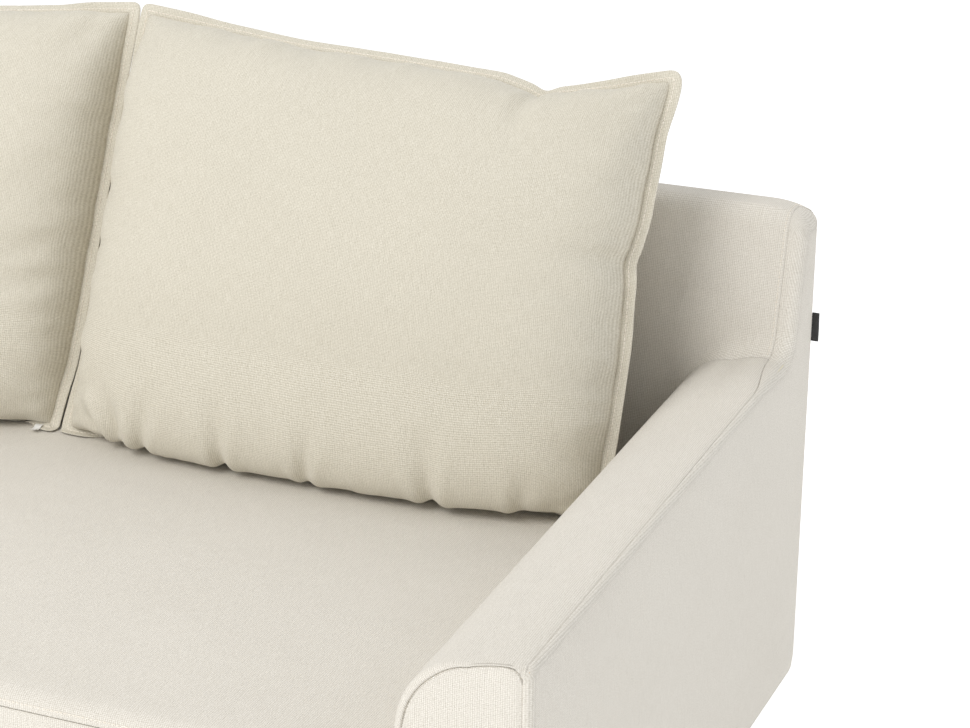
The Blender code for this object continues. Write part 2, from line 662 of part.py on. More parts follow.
def build_cushion(name, side):
    half_width = SEAT_HALF / 2 - CUSHION_SIDE_GAP
    size = (half_width, 0.0, CUSHION_HEIGHT, CUSHION_THICK)
    cover = pillow("cushion_cover_" + name, *size, "cushion_fabric")
    y, z = cushion_place(cover)
    holder = bpy.data.objects.new("cushion_lift_" + name, None)
    SOFA.objects.link(holder)
    holder.location = (side * SEAT_HALF / 2, y, z)
    holder.rotation_euler = (-CUSHION_LEAN, 0.0, 0.0)

    high = CUSHION_HEIGHT - FILL_EDGE
    size = (half_width - FILL_EDGE, FILL_EDGE, high, CUSHION_THICK - 2 * (CLOTH + GAP))
    fill = pillow("cushion_fill_" + name, *size, "fibre_fill")

    wall = cover.modifiers.new("wall", "SOLIDIFY")
    wall.thickness = CLOTH
    wall.offset = -1.0
    wall.use_even_offset = True
    behind = cushion_depth(0.0, 2 * ZIP_UP / CUSHION_HEIGHT - 1, CUSHION_THICK)
    half_zip = ZIP_LENGTH / 2
    low = (-half_zip, behind - SLIDER_LENGTH, ZIP_UP - ZIP_SLOT / 2)
    high = (half_zip, behind + SLIDER_LENGTH, ZIP_UP + ZIP_SLOT / 2)
    opening = box("zip_opening_" + name, low, high, "nylon")
    cut(cover, [as_cutter(opening)])

    upper = 2 * (ZIP_UP + SLIDER_HEIGHT / 2) / CUSHION_HEIGHT - 1
    seat = cushion_depth(0.0, upper, CUSHION_THICK) + GAP
    low = (-half_zip, seat, ZIP_UP - SLIDER_HEIGHT / 2)
    high = (SLIDER_LENGTH - half_zip, seat + SLIDER_THICK, ZIP_UP + SLIDER_HEIGHT / 2)
    slider = box("zip_slider_" + name, low, high, "nylon")
    for piece in (cover, fill, opening, slider):
        piece.parent = holder


def build_cushions():
    for name, side in SIDES.items():
        build_cushion(name, side)


def build_tag():
    low = (HALF_WIDTH + GAP, Y_REAR - COVER - TAG_THICK, TAG_TOP - TAG_HEIGHT)
    box("side_tag", low, (HALF_WIDTH + TAG_OUT, Y_REAR - COVER, TAG_TOP), "black_ribbon")


def build_sofa():
    build_seat_frame()
    build_arm_frame()
    build_back_frame()
    build_springs()
    arm_rooms = arm_cutters()
    back_room = back_cutter()
    build_padding(arm_rooms, back_room)
    build_arm_covers(back_room)
    build_back_covers(arm_rooms)
    build_seat_covers()
    build_underside()
    build_legs()
    build_cushions()
    build_tag()
    bpy.context.view_layer.update()


build_sofa()
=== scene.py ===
import json
import math

import bpy
import numpy as np
from mathutils import Matrix, Vector
from mathutils.geometry import delaunay_2d_cdt

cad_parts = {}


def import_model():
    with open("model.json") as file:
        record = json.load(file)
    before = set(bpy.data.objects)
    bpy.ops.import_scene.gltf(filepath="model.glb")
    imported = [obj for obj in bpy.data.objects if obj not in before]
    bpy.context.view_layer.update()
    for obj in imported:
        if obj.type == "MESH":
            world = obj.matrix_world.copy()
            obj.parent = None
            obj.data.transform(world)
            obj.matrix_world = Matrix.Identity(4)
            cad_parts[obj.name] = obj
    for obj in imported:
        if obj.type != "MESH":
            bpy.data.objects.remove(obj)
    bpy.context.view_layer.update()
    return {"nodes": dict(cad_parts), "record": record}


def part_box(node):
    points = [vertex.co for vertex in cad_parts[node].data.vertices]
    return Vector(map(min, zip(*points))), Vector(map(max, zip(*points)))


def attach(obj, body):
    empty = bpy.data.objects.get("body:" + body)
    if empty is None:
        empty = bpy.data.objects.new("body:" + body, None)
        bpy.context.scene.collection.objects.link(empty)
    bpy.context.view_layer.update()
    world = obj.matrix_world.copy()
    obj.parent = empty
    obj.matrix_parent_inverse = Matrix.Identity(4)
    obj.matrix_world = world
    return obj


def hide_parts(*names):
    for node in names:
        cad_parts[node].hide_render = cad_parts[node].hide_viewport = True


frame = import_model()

scene = bpy.context.scene
sides = {"left": -1, "right": 1}

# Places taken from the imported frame, in metres: x across, y to the back, z up
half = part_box("side_cover_right")[1].x
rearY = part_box("back_rear_cover")[1].y
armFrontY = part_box("arm_front_cover_right")[0].y
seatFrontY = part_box("seat_front_cover")[0].y
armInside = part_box("arm_top_cover_right")[0].x
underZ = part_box("arm_front_cover_right")[0].z
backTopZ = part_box("back_front_cover")[1].z
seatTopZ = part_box("seat_cover")[1].z
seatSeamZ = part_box("seat_front_cover")[1].z
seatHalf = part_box("seat_cover")[1].x

body = {
    "backLean": math.radians(13),
    "backThick": 0.048,       # at the top
    "backEdge": 0.024,        # radius over the top
    "backCrown": 0.0018,
    "armHeight": 0.531,       # at the front
    "armRearHeight": 0.557,
    "shoulder": 0.06,         # outer side to the start of the round
    "shoulderDrop": 0.007,
    "roundDrop": 0.088,
    "armSeam": 0.006,         # the arm's long seam, in from the side
    "sideSeam": 0.020,        # the back's seam, in from the side
    "frontSeam": 0.0085,      # the arm front's outer seam, in from the side
    "frontCorner": 0.0125,    # and the radius at its top
    "foldRadius": 0.031,      # where an arm sweeps up into the back
    "cornerDrop": 0.013,      # the back's top eases down towards its corners
    "rearCorner": 0.024,
    "footCorner": 0.009,
    "topCorner": 0.011,
    "cloth": 0.0022,
    "seamDip": 0.0008,
    "seamRow": 0.0016,        # a seam's groove lies within this first row
}


# Eases from 0 to 1: t squared times (3 - 2t).
def smooth01(t):
    t = np.clip(t, 0, 1)
    return t * t * (3 - 2 * t)


# The same path with its points evenly spread along its length.
def resample(path, count):
    path = np.asarray(path, float)
    run = np.r_[0, np.cumsum(np.linalg.norm(np.diff(path, axis=0), axis=1))]
    at = np.linspace(0, run[-1], count)
    return np.stack([np.interp(at, run, path[:, k]) for k in range(path.shape[1])], 1)


# Points on an ellipse from one angle to another, in degrees.
def arcPoints(centre, radii, start, end, steps):
    angle = np.radians(np.linspace(start, end, steps))
    return np.stack([centre[0] + radii[0] * np.cos(angle), centre[1] + radii[1] * np.sin(angle)], 1)


# Left-hand unit normals of a path, from the slope between its neighbours.
def pathNormals(path, closed=False):
    if closed:
        slope = np.roll(path, -1, 0) - np.roll(path, 1, 0)
    else:
        slope = np.gradient(path, axis=0)
    slope /= np.linalg.norm(slope, axis=1, keepdims=True) + 1e-12
    return np.stack([-slope[:, 1], slope[:, 0]], 1)


# A path averaged over its neighbours with raised-cosine weights; an open one repeats its ends.
def soften(path, spread, closed=True):
    kernel = np.hanning(2 * spread + 1) / np.hanning(2 * spread + 1).sum()
    if closed:
        padded = np.vstack([path[-spread:], path, path[:spread]])
    else:
        padded = np.pad(path, ((spread, spread), (0, 0)), mode="edge")
    return np.stack([np.convolve(padded[:, k], kernel, "valid") for k in range(path.shape[1])], 1)


# Places across from one edge to the middle, carried on to the other edge.
def mirrored(x):
    return np.r_[x, -x[-2::-1]]


# The back's face leans: a straight line through its upper front edge.
def backFaceY(z):
    return rearY - body["backThick"] - (backTopZ - z) * math.tan(body["backLean"])


# How far in from the side the seam runs: along the arm's edge, then easing in before the back.
def seamInset(y):
    return body["armSeam"] + (body["sideSeam"] - body["armSeam"]) * smooth01((y - rearY + 0.205) / 0.10)


# Shifts a section inwards so that its outer point lies on the seam; the shift is gone at the
# shoulder.
def shiftToSeam(inwards, y):
    share = np.clip((0.075 - inwards) / (0.075 - body["armSeam"]), 0, 1) ** 1.5
    return inwards + (seamInset(y) - body["armSeam"]) * share


# The back's top eases down near its two corners: a smooth step across times a smooth step up.
def softCorners(points):
    out = points.copy()
    across = np.clip((np.abs(points[..., 0]) - half + 0.055) / 0.055, 0, 1) ** 2.4
    out[..., 2] -= body["cornerDrop"] * across * smooth01((points[..., 2] - backTopZ + 0.10) / 0.10)
    return out


# Mesh from arrays of points, faces and cloth coordinates, turned so that most faces look along
# outward.
def makePiece(name, points, faces, cloth, outward, material, wall=0.0):
    points = np.asarray(points, float).reshape(-1, 3)
    mesh = bpy.data.meshes.new(name)
    mesh.from_pydata(points.tolist(), [], [list(map(int, f)) for f in faces])
    mesh.update()
    normals = np.zeros(len(mesh.polygons) * 3)
    areas = np.zeros(len(mesh.polygons))
    mesh.polygons.foreach_get("normal", normals)
    mesh.polygons.foreach_get("area", areas)
    if (normals.reshape(-1, 3) * areas[:, None]).sum(0) @ np.array(outward, float) < 0:
        mesh.flip_normals()
    layer = mesh.uv_layers.new(name="cloth")
    corner = np.zeros(len(mesh.loops), np.int32)
    mesh.loops.foreach_get("vertex_index", corner)
    layer.data.foreach_set("uv", np.asarray(cloth, np.float32).reshape(-1, 2)[corner].ravel())
    mesh.shade_smooth()
    mesh.materials.append(material)
    obj = bpy.data.objects.new(name, mesh)
    scene.collection.objects.link(obj)
    if wall:
        shell = obj.modifiers.new("wall", "SOLIDIFY")
        shell.thickness = wall
        shell.offset = -1
        shell.use_even_offset = False
    return obj


# Turns a mesh inside out if one of its faces looks towards a point inside it.
def faceAway(obj, face, inside):
    probe = obj.data.polygons[face]
    if probe.normal.dot(probe.center - Vector(inside)) < 0:
        obj.data.flip_normals()


# Four-sided faces between neighbouring rows and columns of a grid of point numbers.
def gridQuads(index):
    corners = [index[:-1, :-1], index[:-1, 1:], index[1:, 1:], index[1:, :-1]]
    return np.stack(corners, -1).reshape(-1, 4)


def gridFaces(rows, columns, closeRows=False, closeColumns=False):
    index = np.arange(rows * columns).reshape(rows, columns)
    index = np.vstack([index, index[:1]]) if closeRows else index
    index = np.hstack([index, index[:, :1]]) if closeColumns else index
    return gridQuads(index)


# Cloth coordinates of a grid: lengths run along its rows and its columns, in metres.
def gridCloth(points):
    across = np.linalg.norm(np.diff(points, axis=1), axis=2)
    along = np.linalg.norm(np.diff(points, axis=0), axis=2)
    u = np.concatenate([np.zeros((len(points), 1)), np.cumsum(across, 1)], 1)
    v = np.concatenate([np.zeros((1, points.shape[1])), np.cumsum(along, 0)], 0)
    u -= u[:, u.shape[1] // 2][:, None]
    return np.stack([u, v], -1)


# A sheet of cloth from a grid of points, with its wall on the inside.
def sheetPiece(name, points, outward, material, wall=None, cloth=None):
    faces = gridFaces(*points.shape[:2])
    cloth = gridCloth(points) if cloth is None else cloth
    return makePiece(name, points, faces, cloth, outward, material, wall or body["cloth"])


# Joins a piece to its body and lets it stand for nodes of the frame, which it hides.
def finishPiece(obj, bodyName, slotName, *nodes):
    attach(obj, bodyName)
    if nodes:
        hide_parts(*nodes)
    return obj


def newMaterial(name, colour, roughness, metallic=0.0):
    material = bpy.data.materials.new(name)
    material.use_nodes = True
    shader = material.node_tree.nodes["Principled BSDF"]
    shader.inputs["Base Color"].default_value = (*colour, 1)
    shader.inputs["Roughness"].default_value = roughness
    shader.inputs["Metallic"].default_value = metallic
    return material, material.node_tree, shader


def addNode(tree, kind, **values):
    node = tree.nodes.new(kind)
    for key, value in values.items():
        if key in node.inputs:
            node.inputs[key].default_value = value
        else:
            setattr(node, key, value)
    return node


def link(tree, source, target):
    tree.links.new(source, target)


def mixColour(tree, amount, first, second, blend="MIX"):
    node = tree.nodes.new("ShaderNodeMix")
    node.data_type = "RGBA"
    node.blend_type = blend
    for socket, value in ((node.inputs[0], amount), (node.inputs[6], first), (node.inputs[7], second)):
        if isinstance(value, bpy.types.NodeSocket):
            tree.links.new(value, socket)
        elif isinstance(value, (int, float)):
            socket.default_value = value
        else:
            socket.default_value = (*value, 1)
    return node.outputs[2]


def mathNode(tree, operation, first, second=0.0):
    node = tree.nodes.new("ShaderNodeMath")
    node.operation = operation
    for socket, value in ((node.inputs[0], first), (node.inputs[1], second)):
        if isinstance(value, bpy.types.NodeSocket):
            tree.links.new(value, socket)
        else:
            socket.default_value = value
    return node.outputs[0]


# Sum of node outputs, each times its weight.
def weighted(tree, *terms):
    parts = [mathNode(tree, "MULTIPLY", source, weight) for source, weight in terms]
    total = parts[0]
    for part in parts[1:]:
        total = mathNode(tree, "ADD", total, part)
    return total


# A value stretched so that low gives 0 and high gives 1.
def levelled(tree, value, low, high):
    level = tree.nodes.new("ShaderNodeMapRange")
    level.inputs["From Min"].default_value = low
    level.inputs["From Max"].default_value = high
    link(tree, value, level.inputs["Value"])
    return level.outputs["Result"]


# A bump from a height, on top of an earlier bump where one is given.
def bumped(tree, height, strength, distance, under=None):
    bump = addNode(tree, "ShaderNodeBump", Strength=strength, Distance=distance)
    link(tree, height, bump.inputs["Height"])
    if under is not None:
        link(tree, under, bump.inputs["Normal"])
    return bump.outputs["Normal"]


# A wave texture repeats every pi / 10 of its own units, so this scale gives it a period in metres.
def waveScale(period):
    return math.pi / 10 / period


weave = {
    "rib": 0.0021,          # between the warp threads that show as fine ribs
    "weft": 0.0017,
    "speck": 620.0,
    "slub": 110.0,
    "depth": 0.00035,
}


# Woven cloth: warp ribs, weft bars and their product make a grain, broken by specks and slubs.
def wovenCloth(name, dark, light, ribs=1.0, soft=1.0, dust=(0.5, 0.47, 0.4)):
    material, tree, shader = newMaterial(name, light, 0.92)
    coords = addNode(tree, "ShaderNodeUVMap", uv_map="cloth")
    warp = addNode(tree, "ShaderNodeTexWave", Scale=waveScale(weave["rib"]), Distortion=1.2, Detail=2.0)
    warp.inputs["Detail Scale"].default_value = 1.6
    weft = addNode(tree, "ShaderNodeTexWave", bands_direction="Y", Distortion=1.6, Detail=1.0)
    weft.inputs["Scale"].default_value = waveScale(weave["weft"])
    specks = addNode(tree, "ShaderNodeTexNoise", Scale=weave["speck"], Detail=2.0, Roughness=0.6)
    stretch = addNode(tree, "ShaderNodeMapping")
    stretch.inputs["Scale"].default_value = (6.0, 0.55, 1.0)
    slubs = addNode(tree, "ShaderNodeTexNoise", Scale=weave["slub"], Detail=3.0, Roughness=0.55)
    clouds = addNode(tree, "ShaderNodeTexNoise", Scale=7.0, Detail=2.0, Roughness=0.5)
    rumple = addNode(tree, "ShaderNodeTexNoise", Scale=11.0, Detail=1.5, Roughness=0.45)
    for node in (warp, weft, specks, stretch, clouds, rumple):
        link(tree, coords.outputs["UV"], node.inputs["Vector"])
    link(tree, stretch.outputs["Vector"], slubs.inputs["Vector"])
    basket = mathNode(tree, "MULTIPLY", warp.outputs["Fac"], weft.outputs["Fac"])
    grain = weighted(tree, (warp.outputs["Fac"], ribs * 0.5), (weft.outputs["Fac"], 0.3), (basket, 0.9),
                     (specks.outputs["Fac"], 2.1), (slubs.outputs["Fac"], 0.9))
    colour = mixColour(tree, levelled(tree, grain, 1.0, 2.9 + ribs * 0.3), dark, light)
    shade = mathNode(tree, "MULTIPLY", clouds.outputs["Fac"], 0.10)
    link(tree, mixColour(tree, shade, colour, dust, "MULTIPLY"), shader.inputs["Base Color"])
    shader.inputs["Sheen Weight"].default_value = 0.18
    shader.inputs["Sheen Roughness"].default_value = 0.45
    shader.inputs["Specular IOR Level"].default_value = 0.18
    wide = bumped(tree, rumple.outputs["Fac"], 0.35 * soft, 0.010)
    link(tree, bumped(tree, grain, 0.55, weave["depth"], wide), shader.inputs["Normal"])
    return material


# Wood: rings are bands across the grain, bent by noise that is stretched along the grain.
def woodGrain(name, dark, light, along, ring, roughness, pore=0.15):
    material, tree, shader = newMaterial(name, light, roughness)
    coords = tree.nodes.new("ShaderNodeTexCoord")
    place = tree.nodes.new("ShaderNodeMapping")
    scale = [1.0, 1.0, 1.0]
    scale["xyz".index(along)] = 0.06
    place.inputs["Scale"].default_value = scale
    place.inputs["Location"].default_value = (0.37, 0.11, 0.23)
    link(tree, coords.outputs["Object"], place.inputs["Vector"])
    bands = addNode(tree, "ShaderNodeTexWave", bands_direction="DIAGONAL", Distortion=7.0, Detail=3.0)
    bands.inputs["Scale"].default_value = waveScale(ring)
    bands.inputs["Detail Scale"].default_value = 0.7
    fibres = addNode(tree, "ShaderNodeTexNoise", Scale=520.0, Detail=4.0, Roughness=0.65)
    tone = addNode(tree, "ShaderNodeTexNoise", Scale=9.0, Detail=2.0)
    for node in (bands, fibres, tone):
        link(tree, place.outputs["Vector"], node.inputs["Vector"])
    mixed = weighted(tree, (bands.outputs["Fac"], 0.5), (fibres.outputs["Fac"], 0.5),
                     (tone.outputs["Fac"], 0.25))
    colour = mixColour(tree, levelled(tree, mixed, 0.25, 0.95), dark, light)
    link(tree, colour, shader.inputs["Base Color"])
    link(tree, bumped(tree, fibres.outputs["Fac"], pore, 0.0004), shader.inputs["Normal"])
    return material


# Grain of small cells: two noises of different size give colour and bump.
def speckled(name, dark, light, scale, roughness, bumpDepth, metallic=0.0, sheen=0.0):
    material, tree, shader = newMaterial(name, light, roughness, metallic)
    coords = tree.nodes.new("ShaderNodeTexCoord")
    fine = addNode(tree, "ShaderNodeTexNoise", Scale=scale, Detail=4.0, Roughness=0.6)
    broad = addNode(tree, "ShaderNodeTexNoise", Scale=scale / 14, Detail=2.0)
    for node in (fine, broad):
        link(tree, coords.outputs["Object"], node.inputs["Vector"])
    mixed = weighted(tree, (fine.outputs["Fac"], 0.65), (broad.outputs["Fac"], 0.35))
    colour = mixColour(tree, levelled(tree, mixed, 0.35, 0.65), dark, light)
    link(tree, colour, shader.inputs["Base Color"])
    link(tree, bumped(tree, fine.outputs["Fac"], 0.5, bumpDepth), shader.inputs["Normal"])
    shader.inputs["Sheen Weight"].default_value = sheen
    return material


# Plies: thin dark glue lines repeat through the board's thickness, over a wood grain.
def plywoodFace(name):
    material = woodGrain(name, (0.42, 0.27, 0.14), (0.66, 0.48, 0.29), "z", 0.02, 0.7)
    tree = material.node_tree
    shader = tree.nodes["Principled BSDF"]
    under = shader.inputs["Base Color"].links[0].from_socket
    coords = tree.nodes.new("ShaderNodeTexCoord")
    plies = addNode(tree, "ShaderNodeTexWave", bands_direction="Y", Scale=waveScale(0.0028))
    link(tree, coords.outputs["Object"], plies.inputs["Vector"])
    line = mathNode(tree, "GREATER_THAN", plies.outputs["Fac"], 0.86)
    shade = mathNode(tree, "MULTIPLY", line, 0.45)
    link(tree, mixColour(tree, shade, under, (0.25, 0.15, 0.08)), shader.inputs["Base Color"])
    return material


# Two tones, dark and light, then each finish's own measures
bodyCloth = wovenCloth("bodyCloth", (0.53, 0.49, 0.42), (0.885, 0.85, 0.785), 0.7, 1.0)
cushionCloth = wovenCloth("cushionCloth", (0.47, 0.43, 0.335), (0.87, 0.83, 0.73), 0.35, 0.6)
oakFinish = woodGrain("oiledOak", (0.30, 0.17, 0.08), (0.62, 0.42, 0.23), "z", 0.011, 0.42)
threadFinish = speckled("stitchThread", (0.74, 0.66, 0.54), (0.93, 0.88, 0.80), 2500, 0.75, 1e-4, 0, 0.3)
labelFinish = speckled("satinLabel", (0.80, 0.80, 0.78), (0.93, 0.93, 0.91), 1800, 0.45, 5e-5, 0, 0.2)
ribbonFinish = speckled("blackRibbon", (0.01, 0.01, 0.011), (0.035, 0.035, 0.038), 1500, 0.55, 1e-4, 0, 0.2)
nylonFinish = speckled("creamNylon", (0.66, 0.62, 0.52), (0.80, 0.77, 0.68), 1200, 0.4, 5e-5)
zincFinish = speckled("zincPlate", (0.48, 0.48, 0.50), (0.72, 0.72, 0.74), 260, 0.34, 5e-5, 1.0)

slotFinish = {
    "pine": woodGrain("pineRail", (0.46, 0.30, 0.15), (0.76, 0.58, 0.36), "x", 0.014, 0.7),
    "plywood": plywoodFace("plywoodBoard"),
    "fibreboard": speckled("fibreboard", (0.20, 0.13, 0.08), (0.42, 0.30, 0.19), 900, 0.85, 2e-4),
    "foam": speckled("seatFoam", (0.66, 0.58, 0.34), (0.88, 0.82, 0.60), 700, 0.95, 6e-4),
    "fibre_fill": speckled("fibreFill", (0.74, 0.74, 0.72), (0.93, 0.93, 0.91), 420, 0.95, 1.2e-3, 0, 0.3),
    "spring_steel": speckled("springSteel", (0.16, 0.16, 0.17), (0.36, 0.36, 0.38), 500, 0.36, 5e-5, 1.0),
    "dust_cloth": speckled("dustCloth", (0.012, 0.012, 0.013), (0.05, 0.05, 0.055), 1400, 0.95, 2e-4,
                           0, 0.2),
    "black_plastic": speckled("blackPlastic", (0.016, 0.016, 0.017), (0.035, 0.035, 0.036), 900, 0.5, 8e-5),
    "zinc": zincFinish,
    "nylon": nylonFinish,
    "black_ribbon": ribbonFinish,
    "oak": oakFinish,
    "cream_fabric": bodyCloth,
    "cushion_fabric": cushionCloth,
}
print("materials made")

armEndY = backFaceY(body["armRearHeight"])
armSlope = (body["armRearHeight"] - body["armHeight"]) / (armEndY - armFrontY)
arm = {
    "outerEdge": body["armSeam"],
    "crown": 0.0014,         # across the flat of the top
    "frontRoll": 0.007,
    "rollSteps": 7,
    "footZ": seatTopZ - 0.022,
    "sectionPoints": 46,
    "stations": 70,
    "foldSteps": 16,
    "seamStep": 3,           # how many steps of the fold belong to the arm
    "wave": 0.0007,          # slow waves of the cloth on the top
    "innerRadius": 0.004,    # the fold's radius at the arm's inner side
    "panelCrown": 0.0022,    # how far the side and front panels swell
}


# The arm from the front, as (distance in from the outer side, height): a faint crown, a quarter
# ellipse, then straight down.
def armSection(count):
    t = np.linspace(0, 1, 24)
    crownZ = body["armHeight"] - body["shoulderDrop"] * t ** 1.6 + arm["crown"] * np.sin(np.pi * t)
    crown = np.stack([arm["outerEdge"] + (body["shoulder"] - arm["outerEdge"]) * t, crownZ], 1)
    centre = (body["shoulder"], body["armHeight"] - body["roundDrop"])
    radii = (half - armInside - body["shoulder"], body["roundDrop"] - body["shoulderDrop"])
    rounded = arcPoints(centre, radii, 90, 0, 40)
    foot = np.array([[half - armInside, arm["footZ"]]])
    return resample(np.vstack([crown, rounded[1:], foot]), count)


# Along the arm a line rises at the arm's slope, then turns on an arc until it lies along the back.
def armRun(height, radius, turns):
    forward = np.array([1.0, armSlope]) / math.hypot(1, armSlope)
    upward = np.array([math.sin(body["backLean"]), math.cos(body["backLean"])])
    lean = math.tan(body["backLean"])
    meetY = (backFaceY(height - armSlope * armFrontY)) / (1 - lean * armSlope)
    meet = np.stack([meetY, height + armSlope * (meetY - armFrontY)], -1)
    turn = math.acos(forward @ upward)
    side = (upward - (forward @ upward) * forward) / math.sin(turn)
    reach = radius * math.tan(turn / 2)
    first = meet - reach[:, None] * forward
    angle = np.linspace(0, turn, turns)[:, None, None]
    arc = first + radius[:, None] * (np.sin(angle) * forward + (1 - np.cos(angle)) * side)
    return first, arc


# How far the front roll drops each line of the arm: least at the shoulder, more towards the inner
# side, and a circle's worth round the panel's outer corner.
def frontInset(inwards):
    r = body["frontCorner"]
    reach = np.clip(body["frontSeam"] + r - inwards, 0, r * 0.985)
    drop = 0.0014 + 0.0007 * inwards / 0.06 + 0.0058 * smooth01((inwards - 0.05) / 0.055)
    return drop + r - np.sqrt(r * r - reach ** 2)


# The radius of the sweep into the back: full on the outside, easing to a tight fold inside.
def foldRadius(inwards):
    tight = arm["innerRadius"]
    return tight + (body["foldRadius"] - tight) * smooth01((0.128 - inwards) / 0.07)


# The arm's top cover: its section carried from a quarter-round front roll, along the slope and
# into the fold.
def buildArm(name, side):
    section = armSection(arm["sectionPoints"])
    edges = np.array([0, 0.0013, 0.003])
    section = np.vstack([section[:1] + np.outer(edges, [1, -0.02]), section[1:]])
    inwards, height = section.T
    normal = -pathNormals(section)
    radius = foldRadius(inwards)
    first, arc = armRun(height, radius, arm["foldSteps"])
    arc = arc[:arm["seamStep"]]

    inset = frontInset(inwards)
    roll = np.radians(np.linspace(90, 0, arm["rollSteps"]))[:, None]
    rollY = armFrontY + arm["frontRoll"] * (1 - np.sin(roll)) + 0 * inwards
    rollIn = inwards + inset * (1 - np.cos(roll)) * normal[:, 0]
    rollZ = height + inset * (1 - np.cos(roll)) * normal[:, 1] + armSlope * (rollY - armFrontY)
    rollY[0] += body["seamRow"]

    t = np.linspace(0, 1, arm["stations"])[1:-1, None]
    straightY = armFrontY + arm["frontRoll"] + (first[:, 0] - armFrontY - arm["frontRoll"]) * t
    straightZ = height + armSlope * (straightY - armFrontY)
    # cloth pulled over foam: slow shallow waves on the top, none on the inner face
    onTop = smooth01((0.125 - inwards) / 0.05)
    straightZ += arm["wave"] * onTop * np.sin(straightY * 21 + inwards * 30) * np.sin(np.pi * t)
    y = np.vstack([rollY, straightY, arc[..., 0]])
    z = np.vstack([rollZ, straightZ, arc[..., 1]])
    s = np.vstack([rollIn, inwards + 0 * straightY, inwards + 0 * arc[..., 0]])
    s = shiftToSeam(s, y)
    z[:, 0] -= body["seamDip"]
    y[-1] += body["seamDip"]
    points = np.stack([side * (half - s), y, z], -1)
    cover = sheetPiece("arm_top_" + name, points, (0, 0, 1), bodyCloth)
    finishPiece(cover, "body", "cream_fabric", "arm_top_cover_" + name)
    return section


# Fills a closed loop with a lattice of points and triangles; triangles number the loop first.
def fillLoop(loop, pitch):
    low, high = loop.min(0), loop.max(0)
    columns = [np.arange(low[k] + pitch / 2, high[k], pitch) for k in (0, 1)]
    lattice = np.stack(np.meshgrid(*columns), -1).reshape(-1, 2)
    after = np.roll(loop, -1, 0)
    crosses = (loop[None, :, 1] > lattice[:, None, 1]) != (after[None, :, 1] > lattice[:, None, 1])
    rise = after[:, 1] - loop[:, 1]
    rise = np.where(np.abs(rise) < 1e-12, 1e-12, rise)
    meet = (after[:, 0] - loop[:, 0]) * (lattice[:, None, 1] - loop[:, 1]) / rise + loop[:, 0]
    within = (crosses & (lattice[:, None, 0] < meet)).sum(1) % 2 == 1
    clear = ((lattice[:, None] - loop[None, ::2]) ** 2).sum(2).min(1) > (0.45 * pitch) ** 2
    lattice = lattice[within & clear]
    points = [Vector(p) for p in np.vstack([loop, lattice]).tolist()]
    rim = [(k, (k + 1) % len(loop)) for k in range(len(loop))]
    found = delaunay_2d_cdt(points, rim, [], 1, 1e-7)
    source = [original[0] for original in found[3]]
    return lattice, [[source[k] for k in face] for face in found[2]]


panelSteps = (0.002, 0.005, 0.009, 0.014)   # rings inside the roll
panelEase = 0.014
panelPitch = 0.012                          # of the lattice


# A soft flat panel. Rings run inwards from a closed seam line: a strip across the edge, a
# quarter-round roll, then steps towards a middle line, with a lattice inside the last ring. The
# height rises to its crown as 1 - exp(-depth / panelEase). world() places (flat point, height) pairs.
def outlinePanel(name, outline, roll, strip, middle, world, dip, outward):
    crown = arm["panelCrown"]
    inward = pathNormals(outline, closed=True)
    after = np.roll(outline, -1, 0)
    turn = np.sum(outline[:, 0] * after[:, 1] - after[:, 0] * outline[:, 1])
    inward = inward if turn > 0 else -inward
    rings, clothRings, heights = [], [], []
    strip = np.maximum(strip, roll)
    for share, sunk in ((1, 1), (1 - body["seamRow"] / strip.max(), 0), (0.5, 0)):
        out = roll + (strip - roll) * share
        rings.append(outline + inward * (sunk * dip)[:, None])
        clothRings.append(outline - inward * out[:, None])
        heights.append(-out)
    for angle in np.radians([0, 18, 36, 54, 72, 90]):
        rings.append(outline + inward * (roll * (1 - math.cos(angle)))[:, None])
        clothRings.append(outline - inward * (roll * (1 - angle / (math.pi / 2)))[:, None])
        heights.append(-roll * (1 - math.sin(angle)))
    edge = rings[-1]
    dense = resample(middle, 400)
    nearest = dense[np.argmin(np.linalg.norm(edge[:, None] - dense[None], axis=2), axis=1)]
    nearest = soften(nearest, 15)
    reach = np.linalg.norm(nearest - edge, axis=1)
    for depth in panelSteps:
        rings.append(edge + (nearest - edge) * np.minimum(depth / reach, 0.5)[:, None])
        clothRings.append(rings[-1])
        heights.append(np.full(len(edge), crown * (1 - math.exp(-depth / panelEase))))
    flat, cloth, height = np.array(rings), np.array(clothRings), np.array(heights)
    faces = gridFaces(*flat.shape[:2], closeColumns=True).tolist()
    inside, triangles = fillLoop(flat[-1], panelPitch)
    gap = np.sqrt(((inside[:, None] - flat[-1][None, ::3]) ** 2).sum(2).min(1)) + panelSteps[-1]
    start = flat.size // 2 - flat.shape[1]
    triangles = np.array(triangles) + start
    faces += (triangles if turn > 0 else triangles[:, ::-1]).tolist()
    flat = np.vstack([flat.reshape(-1, 2), inside])
    height = np.r_[height.ravel(), crown * (1 - np.exp(-gap / panelEase))]
    cloth = np.vstack([cloth.reshape(-1, 2), inside])
    return makePiece(name, world(flat, height), faces, cloth, outward, bodyCloth, body["cloth"])


